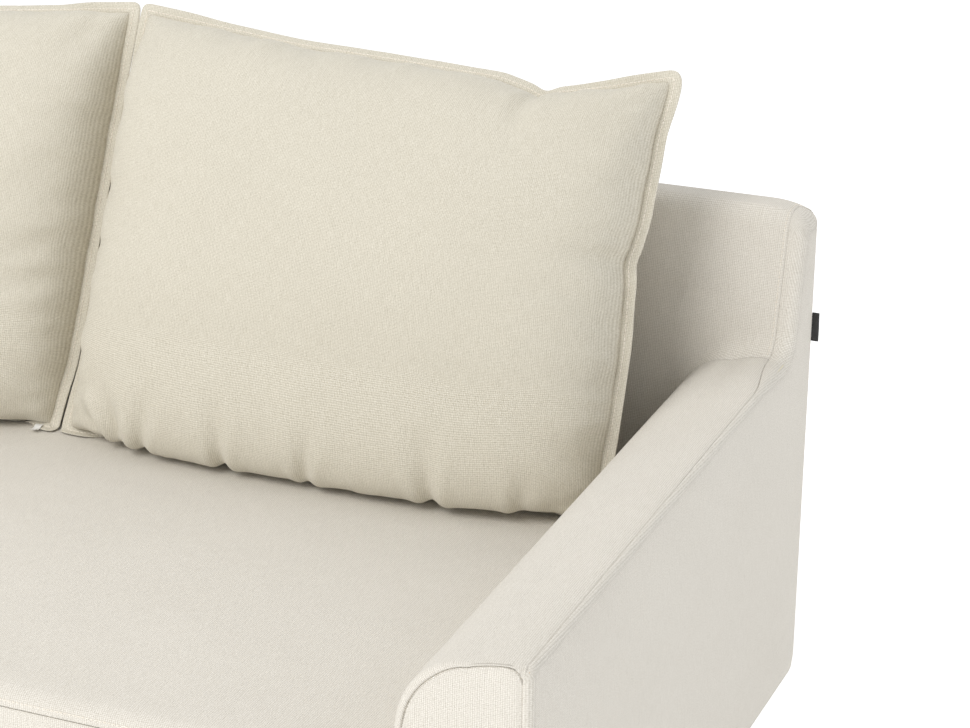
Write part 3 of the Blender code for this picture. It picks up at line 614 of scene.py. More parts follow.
# The arm's front panel: the section's outline moved in by the front roll, down to the underside.
def buildArmFront(name, side, section):
    inwards, height = section.T
    normal = -pathNormals(section)
    seam = section + frontInset(inwards)[:, None] * normal
    r = body["frontCorner"]
    outer = body["frontSeam"]
    corner = arcPoints((outer + r, body["armHeight"] - 0.0022 - r), (r, r), 180, 100, 9)
    seam = seam[seam[:, 0] > outer + r]
    low = seatTopZ - 0.03
    innerX = half - armInside
    inner = np.array([[innerX - 0.0006, low], [innerX - 0.0006, underZ + 0.004]])
    foot = np.array([[innerX - 0.004, underZ], [outer + 0.002, underZ], [outer, underZ + 0.002]])
    path = np.vstack([corner, seam[seam[:, 1] > low + 0.008], inner, foot, corner[:1]])
    outline = resample(path, 300)[:-1]
    outline[:, 0] = side * (half - outline[:, 0])
    middleX = side * (half - 0.064)
    middle = np.array([[middleX, underZ + 0.06], [middleX, body["armHeight"] - 0.06]])
    roll = np.full(len(outline), 0.0022)

    def world(flat, height):
        return np.stack([flat[..., 0], armFrontY - height, flat[..., 1]], -1)

    dip = np.full(len(outline), body["seamDip"])
    panel = outlinePanel("arm_front_" + name, outline, roll, roll, middle, world, dip, (0, -1, 0))
    finishPiece(panel, "body", "cream_fabric", "arm_front_cover_" + name)


# The rounded edge from the back's leaning face to its top, as (y, z): an arc that starts along the
# lean.
def backCrest(steps):
    lean = body["backLean"]
    r = body["backEdge"]
    centre = (backFaceY(backTopZ - r) + r / math.cos(lean), backTopZ - r)
    return arcPoints(centre, (r, r), 180 - math.degrees(lean), 90, steps)


# The sofa's profile from the side, as (y, z): arcs at its corners, joined by straight stretches.
def sideOutline():
    fold = armRun(np.array([body["armHeight"]]), np.array([body["foldRadius"]]), arm["foldSteps"])[1][:, 0]
    top, foot, rear = body["topCorner"], body["footCorner"], body["rearCorner"]
    rearTop = arcPoints((rearY - top, backTopZ - top), (top, top), 90, 0, 7)
    rearFoot = arcPoints((rearY - rear, underZ + rear), (rear, rear), 0, -90, 9)
    frontFoot = arcPoints((armFrontY + foot, underZ + foot), (foot, foot), 270, 180, 6)
    topZ = body["armHeight"] - top + armSlope * 0.01
    frontTop = arcPoints((armFrontY + top, topZ), (top, top), 180, 92, 7)
    path = np.vstack([frontTop, fold, backCrest(9), rearTop, rearFoot, frontFoot, frontTop[:1]])
    return resample(path, 901)[:-1]


sidePanel = {
    "roll": 0.0055,          # radius round its edge
    "rearRoll": 0.0030,      # added at the rear
    "grooveFades": 0.53,     # height from which its seam's groove gets shallower
    "middle": [(-0.25, 0.335), (0.27, 0.345), (0.385, 0.52), (0.408, 0.65)],   # as (y, z)
}


# One panel over the arm's and the back's outer side; its edge strip is wider beside the back.
def buildSide(name, side):
    outline = sideOutline()
    y, z = outline.T
    above = smooth01((z - 0.50) / 0.01)
    onRear = smooth01((y - rearY + 0.012) / 0.008)
    onFront = smooth01((armFrontY + 0.012 - y) / 0.008)
    strip = body["armSeam"] + (seamInset(y) - body["armSeam"]) * above * (1 - onRear)
    strip = strip + (body["frontSeam"] - body["armSeam"]) * onFront
    roll = sidePanel["roll"] + 0.5 * (strip - body["armSeam"]) + sidePanel["rearRoll"] * onRear
    middle = np.array(sidePanel["middle"])

    def world(flat, height):
        points = np.stack([side * (half + height), flat[..., 0], flat[..., 1]], -1)
        return softCorners(points)

    # the groove is shallower beside the back than along the arm
    dip = body["seamDip"] * (1 - 0.75 * smooth01((z - sidePanel["grooveFades"]) / 0.04))
    panel = outlinePanel("side_" + name, outline, roll, strip, middle, world, dip, (side, 0, 0))
    finishPiece(panel, "body", "cream_fabric", "side_cover_" + name)


for name, side in sides.items():
    section = buildArm(name, side)
    buildArmFront(name, side, section)
    buildSide(name, side)
print("arms made")

back = {
    "swell": 0.0035,         # of the pad under its face
    "rearTopRadius": 0.007,
    "rearEdge": 0.0085,      # the rear seam, in from the side
    "rearSwell": 0.0018,
}


# The back's front: across by up. Each column climbs the leaning face, turns over the top and ends
# at the rear seam.
def buildBackFront():
    seamX = half - body["sideSeam"]
    section = armSection(arm["sectionPoints"])
    fold = armRun(section[:, 1], foldRadius(section[:, 0]), arm["foldSteps"])[1][arm["seamStep"] - 1:]
    inwards = shiftToSeam(section[:, 0], rearY)
    overArm = np.linspace(seamX - 0.008, armInside + 0.002, 22)
    outer = np.r_[seamX, seamX - body["seamRow"], seamX - 0.004, overArm, armInside + 0.0005]
    inner = np.r_[armInside - 0.0005, np.linspace(armInside - 0.006, 0, 60)]
    x = np.r_[outer, inner]
    plainZ = seatTopZ - 0.03 + 0.002 * np.arange(len(fold))[:, None]
    overY, overZ = [[np.interp(half - x, inwards, step[:, k]) for step in fold] for k in (0, 1)]
    foldZ = np.where(x > armInside, overZ, plainZ)
    foldY = np.where(x > armInside, overY, backFaceY(plainZ))
    x = mirrored(x)
    foldZ = np.hstack([foldZ, foldZ[:, -2::-1]])
    foldY = np.hstack([foldY, foldY[:, -2::-1]])
    startZ = foldZ[-1]
    crest = backCrest(12)
    rear = back["rearTopRadius"]
    rearTop = arcPoints((rearY - rear, backTopZ - rear), (rear, rear), 90, 0, 6)
    over = np.vstack([crest, resample(np.array([crest[-1], rearTop[0]]), 10)[1:-1], rearTop])
    t = np.linspace(0, 1, 42)[1:, None]
    faceZ = startZ + (crest[0, 1] - startZ) * t[:-1]
    faceY = backFaceY(faceZ)
    # a thin pad under the cloth: the face swells by a half sine of its height
    rise = np.clip((faceZ - seatTopZ) / (crest[0, 1] - seatTopZ), 0, 1)
    inside = 1 - (np.abs(x) / half) ** 6
    swell = back["swell"] * np.sin(np.pi * rise) * inside * smooth01((faceZ - 0.60) / 0.05)
    faceY = np.vstack([foldY, faceY - swell])
    y = np.vstack([faceY, over[:, :1] + 0 * x])
    crown = np.sin(np.pi * np.linspace(0, 1, len(over)))[:, None] * (1 - (np.abs(x) / seamX) ** 6)
    z = np.vstack([foldZ, faceZ, over[:, 1:] + body["backCrown"] * crown])
    for column in (0, -1):
        y[:len(faceY), column] += 0.4 * body["seamDip"]
        z[len(faceY):, column] -= 0.4 * body["seamDip"]
    z[0] -= 0.5 * body["seamDip"]
    # at the rear seam the cover widens to meet the side's narrower strip
    wider = 1 + (body["sideSeam"] - back["rearEdge"]) / seamX * smooth01((y - rearY + 0.012) / 0.008)
    points = softCorners(np.stack([x * wider, y, z], -1))
    up = points[..., 2] + 1.2 * np.maximum(points[..., 1] - 0.40, 0)
    cloth = np.stack([points[..., 0], up], -1)
    cover = sheetPiece("back_front", points, (0, -1, 0.3), bodyCloth, cloth=cloth)
    finishPiece(cover, "body", "cream_fabric", "back_front_cover", "back_foam")
    return points


# The rear panel: straight down from the top seam, then a quarter round under the lower edge.
def buildBackRear():
    edge = half - back["rearEdge"] - 0.0003
    x = np.r_[edge, edge - body["seamRow"], np.linspace(edge - 0.006, 0, 50)]
    x = mirrored(x)
    rc = body["rearCorner"]
    top = backTopZ - 0.0075
    foot = arcPoints((rearY - rc, underZ + rc), (rc, rc), 0, -90, 10)
    down = np.r_[top, top - body["seamRow"], np.linspace(top - 0.006, foot[0, 1], 40)]
    straight = np.stack([np.full(len(down), rearY), down], 1)
    path = np.vstack([straight, foot[1:], [[rearY - rc - 0.006, underZ]]])
    y = path[:, :1] + 0 * x
    z = path[:, 1:] + 0 * x
    share = (z - underZ) / (top - underZ)
    y = y + back["rearSwell"] * np.sin(np.pi * np.clip(share, 0, 1)) * (1 - (np.abs(x) / half) ** 8)
    y[0] -= body["seamDip"]
    y[:, 0] -= body["seamDip"]
    y[:, -1] -= body["seamDip"]
    points = softCorners(np.stack([x + 0 * y, y, z], -1))
    cover = sheetPiece("back_rear", points, (0, 1, 0), bodyCloth)
    finishPiece(cover, "body", "cream_fabric", "back_rear_cover")


backPoints = buildBackFront()
buildBackRear()
print("back made")

seat = {
    "edge": 0.014,           # radius of the front edge
    "sideDrop": 0.009,       # how far the top rolls down beside the arms
    "sideWidth": 0.020,
    "rearDrop": 0.010,
    "crown": 0.0035,         # from arm to arm
    "sag": 0.0012,           # of the slow waves where people sit
    "borderRadius": 0.010,
    "borderSwell": 0.0012,
}


# The bench seat: across by along. The front edge is a quarter round; both sides and the rear roll
# down at the crease.
def buildSeat():
    edges = np.array([0, 0.002, 0.005, 0.009, 0.014, 0.02])
    x = np.r_[seatHalf - edges, np.linspace(seatHalf - 0.03, 0, 60)]
    x = mirrored(x)
    r = seat["edge"]
    front = arcPoints((seatFrontY + r, seatTopZ - r), (r, r), 180, 90, 12)
    rear = backFaceY(seatTopZ) - 0.001
    top = np.r_[np.linspace(front[-1, 0] + 0.01, rear - 0.03, 90), rear - np.array([0.02, 0.01, 0.004, 0])]
    seam = [[seatFrontY + 0.0010, seatSeamZ + 0.0002], [seatFrontY + 0.0002, seatSeamZ + 0.0016]]
    path = np.vstack([seam, front, np.stack([top, np.full(len(top), seatTopZ)], 1)])
    y = path[:, :1] + 0 * x
    z = path[:, 1:] + 0 * x
    side = np.clip(1 - (seatHalf - np.abs(x)) / seat["sideWidth"], 0, 1)
    onTop = smooth01((y - seatFrontY - 0.004) / 0.02)
    z = z - seat["sideDrop"] * (1 - np.sqrt(1 - side ** 2)) * onTop
    behind = np.clip(1 - (rear - y) / 0.025, 0, 1)
    z = z - seat["rearDrop"] * (1 - np.sqrt(np.clip(1 - behind ** 2, 0, 1)))
    # a long shallow crown from arm to arm and two slow waves where people sit
    waves = seat["sag"] * np.cos(x * 9.5) * np.sin((y + 0.43) * 4.2)
    z = z + (seat["crown"] * (1 - (x / seatHalf) ** 2) - waves) * onTop * (1 - behind)
    points = np.stack([x + 0 * y, y, z], -1)
    cover = sheetPiece("seat_top", points, (0, 0, 1), bodyCloth)
    finishPiece(cover, "body", "cream_fabric", "seat_cover")
    return points


# The border under the seat: a path round the front and both returns, by height, sunk at its top
# seam and swelling by a half sine between its edges.
def buildSeatFront():
    r = seat["borderRadius"]
    edge = seatHalf
    corner = arcPoints((edge - r, seatFrontY + r), (r, r), 0, -90, 8)
    returned = np.array([[edge, armFrontY - 0.0005]])
    across = np.stack([np.linspace(edge - r - 0.02, -(edge - r - 0.02), 90), np.full(90, seatFrontY)], 1)
    other = corner[::-1] * [-1, 1]
    path = np.vstack([returned, corner, across, other, returned * [-1, 1]])
    out = pathNormals(path)
    if out[len(out) // 2, 1] > 0:
        out = -out
    fall = seatSeamZ - underZ
    height = np.r_[0, 0.0016, 0.004, 0.008, 0.014, np.linspace(0.03, fall - 0.012, 24)]
    height = np.r_[height, fall - 0.006, fall - 0.002, fall]
    z = seatSeamZ - height
    swell = seat["borderSwell"] * np.sin(np.pi * height / height[-1])
    inset = np.where(height < 0.0015, body["seamDip"], 0) - swell
    under = smooth01((height - height[-3]) / (height[-1] - height[-3])) * 0.003
    flat = path[None] - out[None] * (inset + under)[:, None, None]
    points = np.concatenate([flat, np.broadcast_to(z[:, None, None], (*flat.shape[:2], 1))], -1)
    cover = sheetPiece("seat_front", points, (0, -1, 0), bodyCloth)
    finishPiece(cover, "body", "cream_fabric", "seat_front_cover")


seatPoints = buildSeat()
buildSeatFront()
print("seat made")

stitch = {"pitch": 0.0046, "length": 0.0034, "radius": 0.00060, "stand": 0.0002}


# One thread run: short capsules set end to end along a path, each turned to the path and standing
# on the cloth.
def stitchRun(name, path, normals, bodyName, slotName, pitch=None, size=1.0):
    pitch = pitch or stitch["pitch"]
    run = np.r_[0, np.cumsum(np.linalg.norm(np.diff(path, axis=0), axis=1))]
    at = np.arange(pitch / 2, run[-1], pitch)

    # a path or its normals read at given distances along it
    def onPath(places, lines):
        return np.stack([np.interp(places, run, lines[:, k]) for k in range(3)], 1)

    centre = onPath(at, path)
    up = onPath(at, normals)
    along = onPath(at + pitch / 4, path) - onPath(at - pitch / 4, path)
    along /= np.linalg.norm(along, axis=1, keepdims=True)
    across = np.cross(up, along)
    across /= np.linalg.norm(across, axis=1, keepdims=True)
    up = np.cross(along, across)
    r = stitch["radius"] * size
    stations = np.array([-0.5, -0.38, 0, 0.38, 0.5]) * stitch["length"] * size
    girth = np.array([0.35, 0.85, 1.0, 0.85, 0.35]) * r
    angle = np.linspace(0, 2 * math.pi, 7)[:-1]
    ring = np.stack([np.cos(angle), np.sin(angle)], 1)
    a = np.repeat(stations, 6)
    b = (girth[:, None] * ring[:, 0]).ravel()
    c = (girth[:, None] * ring[:, 1]).ravel() - np.repeat(np.abs(stations) * 0.12, 6)
    points = (centre[:, None] + along[:, None] * a[:, None] + across[:, None] * b[:, None]
              + up[:, None] * c[:, None])
    cell = gridFaces(5, 6, closeColumns=True)
    base = (np.arange(len(at)) * 30)[:, None, None]
    faces = (cell[None] + base).reshape(-1, 4).tolist()
    faces += (np.arange(6)[None] + base[:, 0]).tolist()
    faces += (np.arange(24, 30)[::-1][None] + base[:, 0]).tolist()
    cloth = np.zeros((len(points.reshape(-1, 3)), 2))
    obj = makePiece(name, points, faces, cloth, (0, 0, 0), threadFinish)
    faceAway(obj, 0, centre[0])
    return finishPiece(obj, bodyName, slotName)


# Thread beside the back's two side seams, over the top, and along the seat's front seam.
def bodyStitches():
    for name, side in sides.items():
        column = 2 if side > 0 else -3
        line = backPoints[2:-5, column]
        slope = np.gradient(line, axis=0)
        normals = np.cross(slope, np.tile([1.0, 0, 0], (len(line), 1)))
        normals /= np.linalg.norm(normals, axis=1, keepdims=True)
        if normals[5, 1] > 0:
            normals = -normals
        stitchRun("back_stitches_" + name, line + normals * stitch["stand"], normals,
                  "body", "cream_fabric", size=0.9)
    line = seatPoints[4]
    normals = np.tile([0, -0.9, 0.4], (len(line), 1))
    stitchRun("seat_stitches", line + normals * stitch["stand"], normals, "body", "cream_fabric")


bodyStitches()
print("body stitched")

leg = {"sides": 64, "footRound": 0.003, "swell": 0.0012, "taper": 0.58}


# A turned leg: a tapered profile of radius by height spun round, with a faint swell and a round foot.
def buildLeg(node):
    low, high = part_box(node)
    topRadius = (high.x - low.x) / 2
    footRadius = topRadius * leg["taper"]
    centre = ((low.x + high.x) / 2, (low.y + high.y) / 2)
    r = leg["footRound"]
    foot = np.array([[0.0005, low.z], [footRadius - r, low.z]])
    turn = arcPoints((footRadius - r, low.z + r), (r, r), -70, 0, 6)
    t = np.linspace(0.05, 1, 30)
    girth = footRadius + (topRadius - footRadius) * t + leg["swell"] * np.sin(np.pi * t)
    shaft = np.stack([girth, low.z + r + (high.z - low.z - r - 0.0005) * t], 1)
    top = np.array([[topRadius - 0.001, high.z], [0.0005, high.z]])
    profile = np.vstack([foot, turn, shaft, top])
    angle = np.linspace(0, 2 * math.pi, leg["sides"] + 1)[:-1]
    across, height = profile[:, :1], profile[:, 1:] + 0 * angle
    points = np.stack([centre[0] + across * np.cos(angle), centre[1] + across * np.sin(angle), height], -1)
    rows, columns = points.shape[:2]
    faces = gridFaces(rows, columns, closeColumns=True).tolist()
    faces += [list(range(columns))[::-1], list(range((rows - 1) * columns, rows * columns))]
    cloth = np.stack([0 * points[..., 0] + angle * topRadius, points[..., 2]], -1)
    obj = makePiece(node + "_turned", points, faces, cloth, (0, 0, 0), oakFinish)
    faceAway(obj, columns * (rows // 2), points[rows // 2].mean(0))
    finishPiece(obj, "body", "oak", node)


for name in sides:
    for end in ("front", "rear"):
        buildLeg("leg_" + end + "_" + name)
print("legs made")

tagLow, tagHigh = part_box("side_tag")


# The ribbon loop at the rear side seam: out, round a tight bend and back, carried straight up.
def buildTag():
    y = (tagLow.y + tagHigh.y) / 2
    bend = 0.0011
    out = np.array([[tagLow.x - 0.001, y - bend], [tagHigh.x - 0.003, y - bend * 1.15]])
    turn = arcPoints((tagHigh.x - bend - 0.0004, y), (bend, bend), -80, 80, 9)
    path = resample(np.vstack([out, turn, out[::-1] * [1, -1] + [0, 2 * y]]), 40)
    height = np.linspace(tagLow.z, tagHigh.z, 24)
    z = height[:, None] + 0 * path[:, 0]
    free = np.clip((path[:, 0] - half) / 0.008, 0, 1)
    flutter = 0.0006 * np.sin((height[:, None] - tagLow.z) * 150) * free
    points = np.stack([path[:, 0] + 0 * z, path[:, 1] + flutter, z], -1)
    ribbon = sheetPiece("side_ribbon", points, (0, 0, 0), ribbonFinish, 0.0005)
    finishPiece(ribbon, "body", "black_ribbon", "side_tag")


buildTag()

pillow = {
    "lean": math.radians(24),
    "aheadOfRear": 0.3002,   # the lower seam to the sofa's rear
    "aboveSeat": 0.008,
    "flange": 0.0115,
    "flangeThick": 0.0024,
    "flangeFloor": 0.0052,   # above the seat, where a lower corner lies on it
    "flangeWave": 0.0016,
    "columns": 104,
    "rows": 82,
    "flat": (0.331, 0.265),
    "plump": 0.10,
    "sheet": (0.36, 0.285),  # half sizes of the cloth, for its weave
    "pressure": 6.5,
    "frames": 8,
    "mass": 0.3,
    "stretch": 20,
    "shear": 8,
    "bending": 0.35,
    "damping": 5,
    "zipUp": 0.07,
    "zipHalf": 0.20,
    "zipDepth": 0.0905,
    "seatClear": 0.0042,
    "backClear": 0.0050,
    "belly": 0.043,
    "bellyFrom": -0.45,      # where the belly starts, from -1 at the lower seam to 1 at the top
    "bellyBack": 0.75,       # how much of the belly's sag is pushed back again
    "gather": 0.0011,
    "middleUp": 0.25,
}

# The flange's outer edge seen square on, in centimetres: across from the middle, up from the lower seam
pillowEdge = {
    "top": [(-32.8, 49.7), (-22.0, 48.7), (-12.3, 47.7), (-0.6, 47.2), (12.7, 46.5), (16.6, 45.5),
            (17.9, 44.7), (19.0, 45.5), (24.6, 46.6), (32.4, 48.5)],
    "outer": [(33.2, 47.6), (33.2, 45.9), (32.5, 41.4), (32.3, 32.1), (31.8, 28.6), (31.3, 27.2),
              (31.8, 25.8), (32.5, 18.1), (32.6, 9.4), (32.6, -0.4)],
    "bottom": [(32.0, -1.2), (20.0, -1.5), (0.0, -1.5), (-20.0, -1.5), (-32.0, -1.4)],
    "innerRight": [(-33.8, -1.1), (-33.9, 0.6), (-33.55, 3.2), (-33.1, 6.5), (-32.94, 11.0),
                   (-32.93, 20.7), (-32.93, 33.9), (-32.95, 47.0), (-32.9, 49.0)],
    "innerLeft": [(-31.8, -0.8), (-31.9, 0.9), (-32.25, 3.6), (-32.7, 6.8), (-32.9, 11.0),
                  (-32.93, 20.7), (-32.93, 33.9), (-32.95, 47.0), (-32.9, 49.0)],
}

# Folds in each cushion's face: across, up, heading in degrees, length, width, depth in centimetres
pillowFolds = {
    "right": [(17.9, 44.0, -84, 8.0, 1.0, 0.55), (31.0, 27.1, 184, 6.0, 0.8, 0.45),
              (30.8, 30.0, 200, 5.0, 0.7, 0.2), (-24.2, 0.4, 108, 6.5, 1.1, 1.05),
              (-27.6, 0.6, 146, 5.5, 0.9, 0.85), (-20.6, -0.4, 76, 9.0, 0.9, 0.70),
              (-10.2, -0.6, 95, 8.0, 1.0, 0.85), (0.3, -0.6, 86, 7.0, 0.9, 0.75),
              (14.7, -0.6, 97, 8.5, 1.1, 0.80), (24.5, -0.4, 80, 6.0, 0.9, 0.45),
              (-31.0, 46.5, -50, 11.0, 1.3, 0.38), (-29.0, 47.3, -66, 8.0, 1.0, 0.25),
              (31.0, 45.5, -128, 12.0, 1.3, 0.40), (30.5, 41.0, 205, 8.0, 1.0, 0.22),
              (-30.0, 4.5, 28, 10.0, 1.2, 0.40), (-30.5, 8.0, 12, 6.0, 0.9, 0.22),
              (30.5, 4.5, 148, 10.0, 1.3, 0.36), (-30.8, 21.0, -4, 5.0, 0.9, 0.22),
              (-12.0, 45.6, -92, 5.0, 1.0, 0.22), (4.0, 45.2, -86, 5.5, 1.1, 0.22)],
    "left": [(31.0, 46.3, -131, 12.0, 1.3, 0.42), (29.0, 46.6, -112, 7.0, 1.0, 0.25),
             (30.6, 21.0, 214, 8.5, 1.0, 0.42), (30.8, 16.5, 205, 9.5, 1.1, 0.45),
             (30.6, 12.0, 190, 6.0, 0.9, 0.25), (30.0, 4.6, 152, 10.0, 1.2, 0.45),
             (21.0, -0.4, 99, 8.0, 1.1, 0.90), (9.5, -0.6, 84, 7.5, 1.0, 0.75),
             (-5.0, -0.6, 93, 7.0, 1.0, 0.75), (-17.0, -0.5, 85, 8.0, 1.1, 0.80),
             (-31.0, 45.5, -52, 11.0, 1.3, 0.40), (-30.0, 4.6, 30, 10.0, 1.3, 0.40),
             (-31.0, 25.0, -3, 6.0, 0.9, 0.40), (-14.0, 45.2, -86, 7.0, 1.0, 0.40),
             (6.0, 45.4, -95, 5.0, 1.1, 0.22)],
}


# Flange edge and seam of a cushion, each a closed loop; the seam is the edge moved in by the
# flange's width.
def pillowLoops(side):
    inner = "innerRight" if side > 0 else "innerLeft"
    edge = np.vstack([pillowEdge[part] for part in ("top", "outer", "bottom", inner)]) / 100
    edge = soften(resample(np.vstack([edge, edge[:1]]), 1201)[:-1], 9)
    inward = soften(pathNormals(edge, closed=True), 14)
    inward /= np.linalg.norm(inward, axis=1, keepdims=True)
    if inward[100] @ (np.array([0, pillow["middleUp"]]) - edge[100]) < 0:
        inward = -inward
    seam = edge + inward * pillow["flange"]
    if side < 0:
        edge, seam = (edge * [-1, 1])[::-1], (seam * [-1, 1])[::-1]
    return edge, seam


# Two flat rectangles share their rims and are blown up like cloth, giving grids for the front and
# the rear. They start as a box of rounded section, with a few random waves.
def inflatePillow(name, seed):
    columns, rows = pillow["columns"], pillow["rows"]
    u, v = np.meshgrid(np.linspace(-1, 1, columns), np.linspace(-1, 1, rows))
    front = np.arange(rows * columns).reshape(rows, columns)
    inside = np.arange((rows - 2) * (columns - 2)).reshape(rows - 2, columns - 2) + rows * columns
    rear = front.copy()
    rear[1:-1, 1:-1] = inside
    bulge = np.sqrt((1 - np.abs(u) ** 6) * (1 - np.abs(v) ** 3))
    rng = np.random.default_rng(seed)
    rumple = np.zeros_like(u)
    for _ in range(14):
        wave = rng.normal(size=2) * 5
        rumple += np.sin(wave[0] * u + wave[1] * v + rng.uniform(0, 6.28)) / 14
    depth = -pillow["plump"] * bulge * (1 + 0.12 * rumple)
    across, up = u * 0.318 * (1 - 0.03 * (1 - v * v)), v * 0.243 * (1 - 0.03 * (1 - u * u))
    start = np.stack([across, depth, up], -1)
    flat = np.stack([u * pillow["flat"][0], 0 * u, v * pillow["flat"][1]], -1)
    mirrored = start * [1, -1, 1]
    points = np.vstack([start.reshape(-1, 3), mirrored[1:-1, 1:-1].reshape(-1, 3)])
    rest = np.vstack([flat.reshape(-1, 3), flat[1:-1, 1:-1].reshape(-1, 3)])
    rest[:, 1] = 0.02 * points[:, 1]
    points += rng.normal(size=points.shape) * 0.00015
    quads = np.vstack([gridQuads(front), gridQuads(rear)[:, ::-1]])
    mesh = bpy.data.meshes.new("blown")
    mesh.from_pydata(points.tolist(), [], quads.tolist())
    obj = bpy.data.objects.new("blown_" + name, mesh)
    scene.collection.objects.link(obj)
    obj.shape_key_add(name="Basis")
    restKey = obj.shape_key_add(name="flat")
    restKey.data.foreach_set("co", rest.ravel())
    cloth = obj.modifiers.new("cloth", "CLOTH")
    settings = cloth.settings
    settings.rest_shape_key = restKey
    settings.quality = 5
    settings.mass = pillow["mass"]
    settings.use_pressure = True
    settings.uniform_pressure_force = pillow["pressure"]
    settings.tension_stiffness = settings.compression_stiffness = pillow["stretch"]
    settings.shear_stiffness = pillow["shear"]
    settings.bending_stiffness = pillow["bending"]
    settings.tension_damping = settings.compression_damping = pillow["damping"]
    settings.air_damping = 1
    settings.effector_weights.gravity = 0
    cloth.collision_settings.use_collision = False
    cloth.collision_settings.use_self_collision = False
    cloth.point_cache.frame_start = 1
    cloth.point_cache.frame_end = pillow["frames"]
    for step in range(1, pillow["frames"] + 1):
        scene.frame_set(step)
    blown = obj.evaluated_get(bpy.context.evaluated_depsgraph_get()).data
    flatPoints = np.zeros(len(blown.vertices) * 3)
    blown.vertices.foreach_get("co", flatPoints)
    points = flatPoints.reshape(-1, 3)
    bpy.data.objects.remove(obj)
    print("cushion blown", name, points.min(0).round(3), points.max(0).round(3))
    return points, front, rear, u, v


# The larger of a value and 0, with a soft bend between: width times ln(1 + exp(value / width)).
def softPlus(value, width):
    bend = width * np.log1p(np.exp(np.clip(value / width, -60, 30)))
    return np.where(value > 30 * width, value, bend)


# Turns a cushion's own coordinates (across, depth, up) into the sofa's: a turn by its lean. Where
# tight, nothing goes below the seat or behind the back's face.
def placePillow(points, side, tight=False):
    c, s = math.cos(pillow["lean"]), math.sin(pillow["lean"])
    x = points[..., 0] + side * (seatHalf / 2)
    y = rearY - pillow["aheadOfRear"] + points[..., 1] * c + points[..., 2] * s
    z = seatTopZ + pillow["aboveSeat"] - points[..., 1] * s + points[..., 2] * c
    if tight:
        floor = seatTopZ + pillow["seatClear"]
        z = floor + softPlus(z - floor, 0.0012)
        wall = backFaceY(z) - pillow["backClear"]
        wall = np.where(z > backTopZ + 0.004, wall + (z - backTopZ - 0.004) * 1.2, wall)
        y = wall - softPlus(wall - y, 0.0015)
    return np.stack([x, y, z], -1)


# Rim points at even shares between a loop's four corners, as rows and columns of the cushion grid.
def rimTargets(seam, rows, columns):
    tips = np.array([[-0.4, -0.1], [0.4, -0.1], [0.4, 0.6], [-0.4, 0.6]])
    at = [int(np.argmin(np.linalg.norm(seam - tip, axis=1))) for tip in tips]

    def stretch(first, last, count):
        forward = (at[last] - at[first]) % len(seam)
        backward = forward - len(seam)
        step = forward if forward < len(seam) / 2 else backward
        return resample(seam[(at[first] + np.arange(0, step, 1 if step > 0 else -1)) % len(seam)], count)

    return stretch(0, 1, columns), stretch(3, 2, columns), stretch(0, 3, rows), stretch(1, 2, rows)


# Moves the blown grid so that its rim lies on the seam: broad shifts are blended across from all
# four sides, small ones fade as exp(-fade * distance).
def fitToSeam(grid, seam, u, v):
    rows, columns = grid.shape[:2]
    targets = rimTargets(seam, rows, columns)
    rims = (grid[0], grid[-1], grid[:, 0], grid[:, -1])
    moves = [target - rim[:, [0, 2]] for target, rim in zip(targets, rims)]
    broad = []
    for move in moves:
        line = np.linspace(0, 1, len(move))[:, None]
        chord = move[:1] * (1 - line) + move[-1:] * line
        broad.append(chord + soften(move - chord, 9, closed=False) * np.sin(np.pi * line) ** 0.3)
    small = [move - wide for move, wide in zip(moves, broad)]
    a, b = (u[..., None] + 1) / 2, (v[..., None] + 1) / 2
    low, top, left, right = broad
    corners = ((1 - a) * (1 - b) * low[0] + a * (1 - b) * low[-1]
               + (1 - a) * b * top[0] + a * b * top[-1])
    shift = (1 - b) * low[None] + b * top[None] + (1 - a) * left[:, None] + a * right[:, None] - corners
    fade = 14.0
    shift = shift + (small[0][None] * np.exp(-b * fade) + small[1][None] * np.exp(-(1 - b) * fade)
                     + small[2][:, None] * np.exp(-a * fade)
                     + small[3][:, None] * np.exp(-(1 - a) * fade))
    out = grid.copy()
    out[..., [0, 2]] += shift
    return out


# Unit normals of a grid, from the cross product of its two slopes, facing -1 to the front or 1.
def gridNormals(grid, facing):
    normal = np.cross(np.gradient(grid, axis=1), np.gradient(grid, axis=0))
    normal = normal / (np.linalg.norm(normal, axis=-1, keepdims=True) + 1e-12)
    return normal * np.sign((normal[..., 1] * facing).sum())


# How far a face sinks: each fold is a valley of Gaussian section with low ridges beside it, fading
# along its length.
def foldDepth(grid, folds):
    x, z = grid[..., 0] * 100, grid[..., 2] * 100
    depth = np.zeros_like(x)
    for foldX, foldZ, heading, length, width, deep in folds:
        c, s = math.cos(math.radians(heading)), math.sin(math.radians(heading))
        along = ((x - foldX) * c + (z - foldZ) * s) / length
        across = -(x - foldX) * s + (z - foldZ) * c
        across = across + 0.25 * np.sin(along * 3.5)
        wide = width * (0.75 + 0.9 * np.clip(along, 0, 1))
        fade = np.where(along < 0, np.exp(-(along * length / 1.5) ** 2), np.clip(1 - along, 0, 1) ** 1.3)
        ridges = np.exp(-((np.abs(across) - 1.9 * wide) / wide) ** 2)
        depth += deep * fade * (np.exp(-(across / wide) ** 2) - 0.38 * ridges)
    return depth / 100


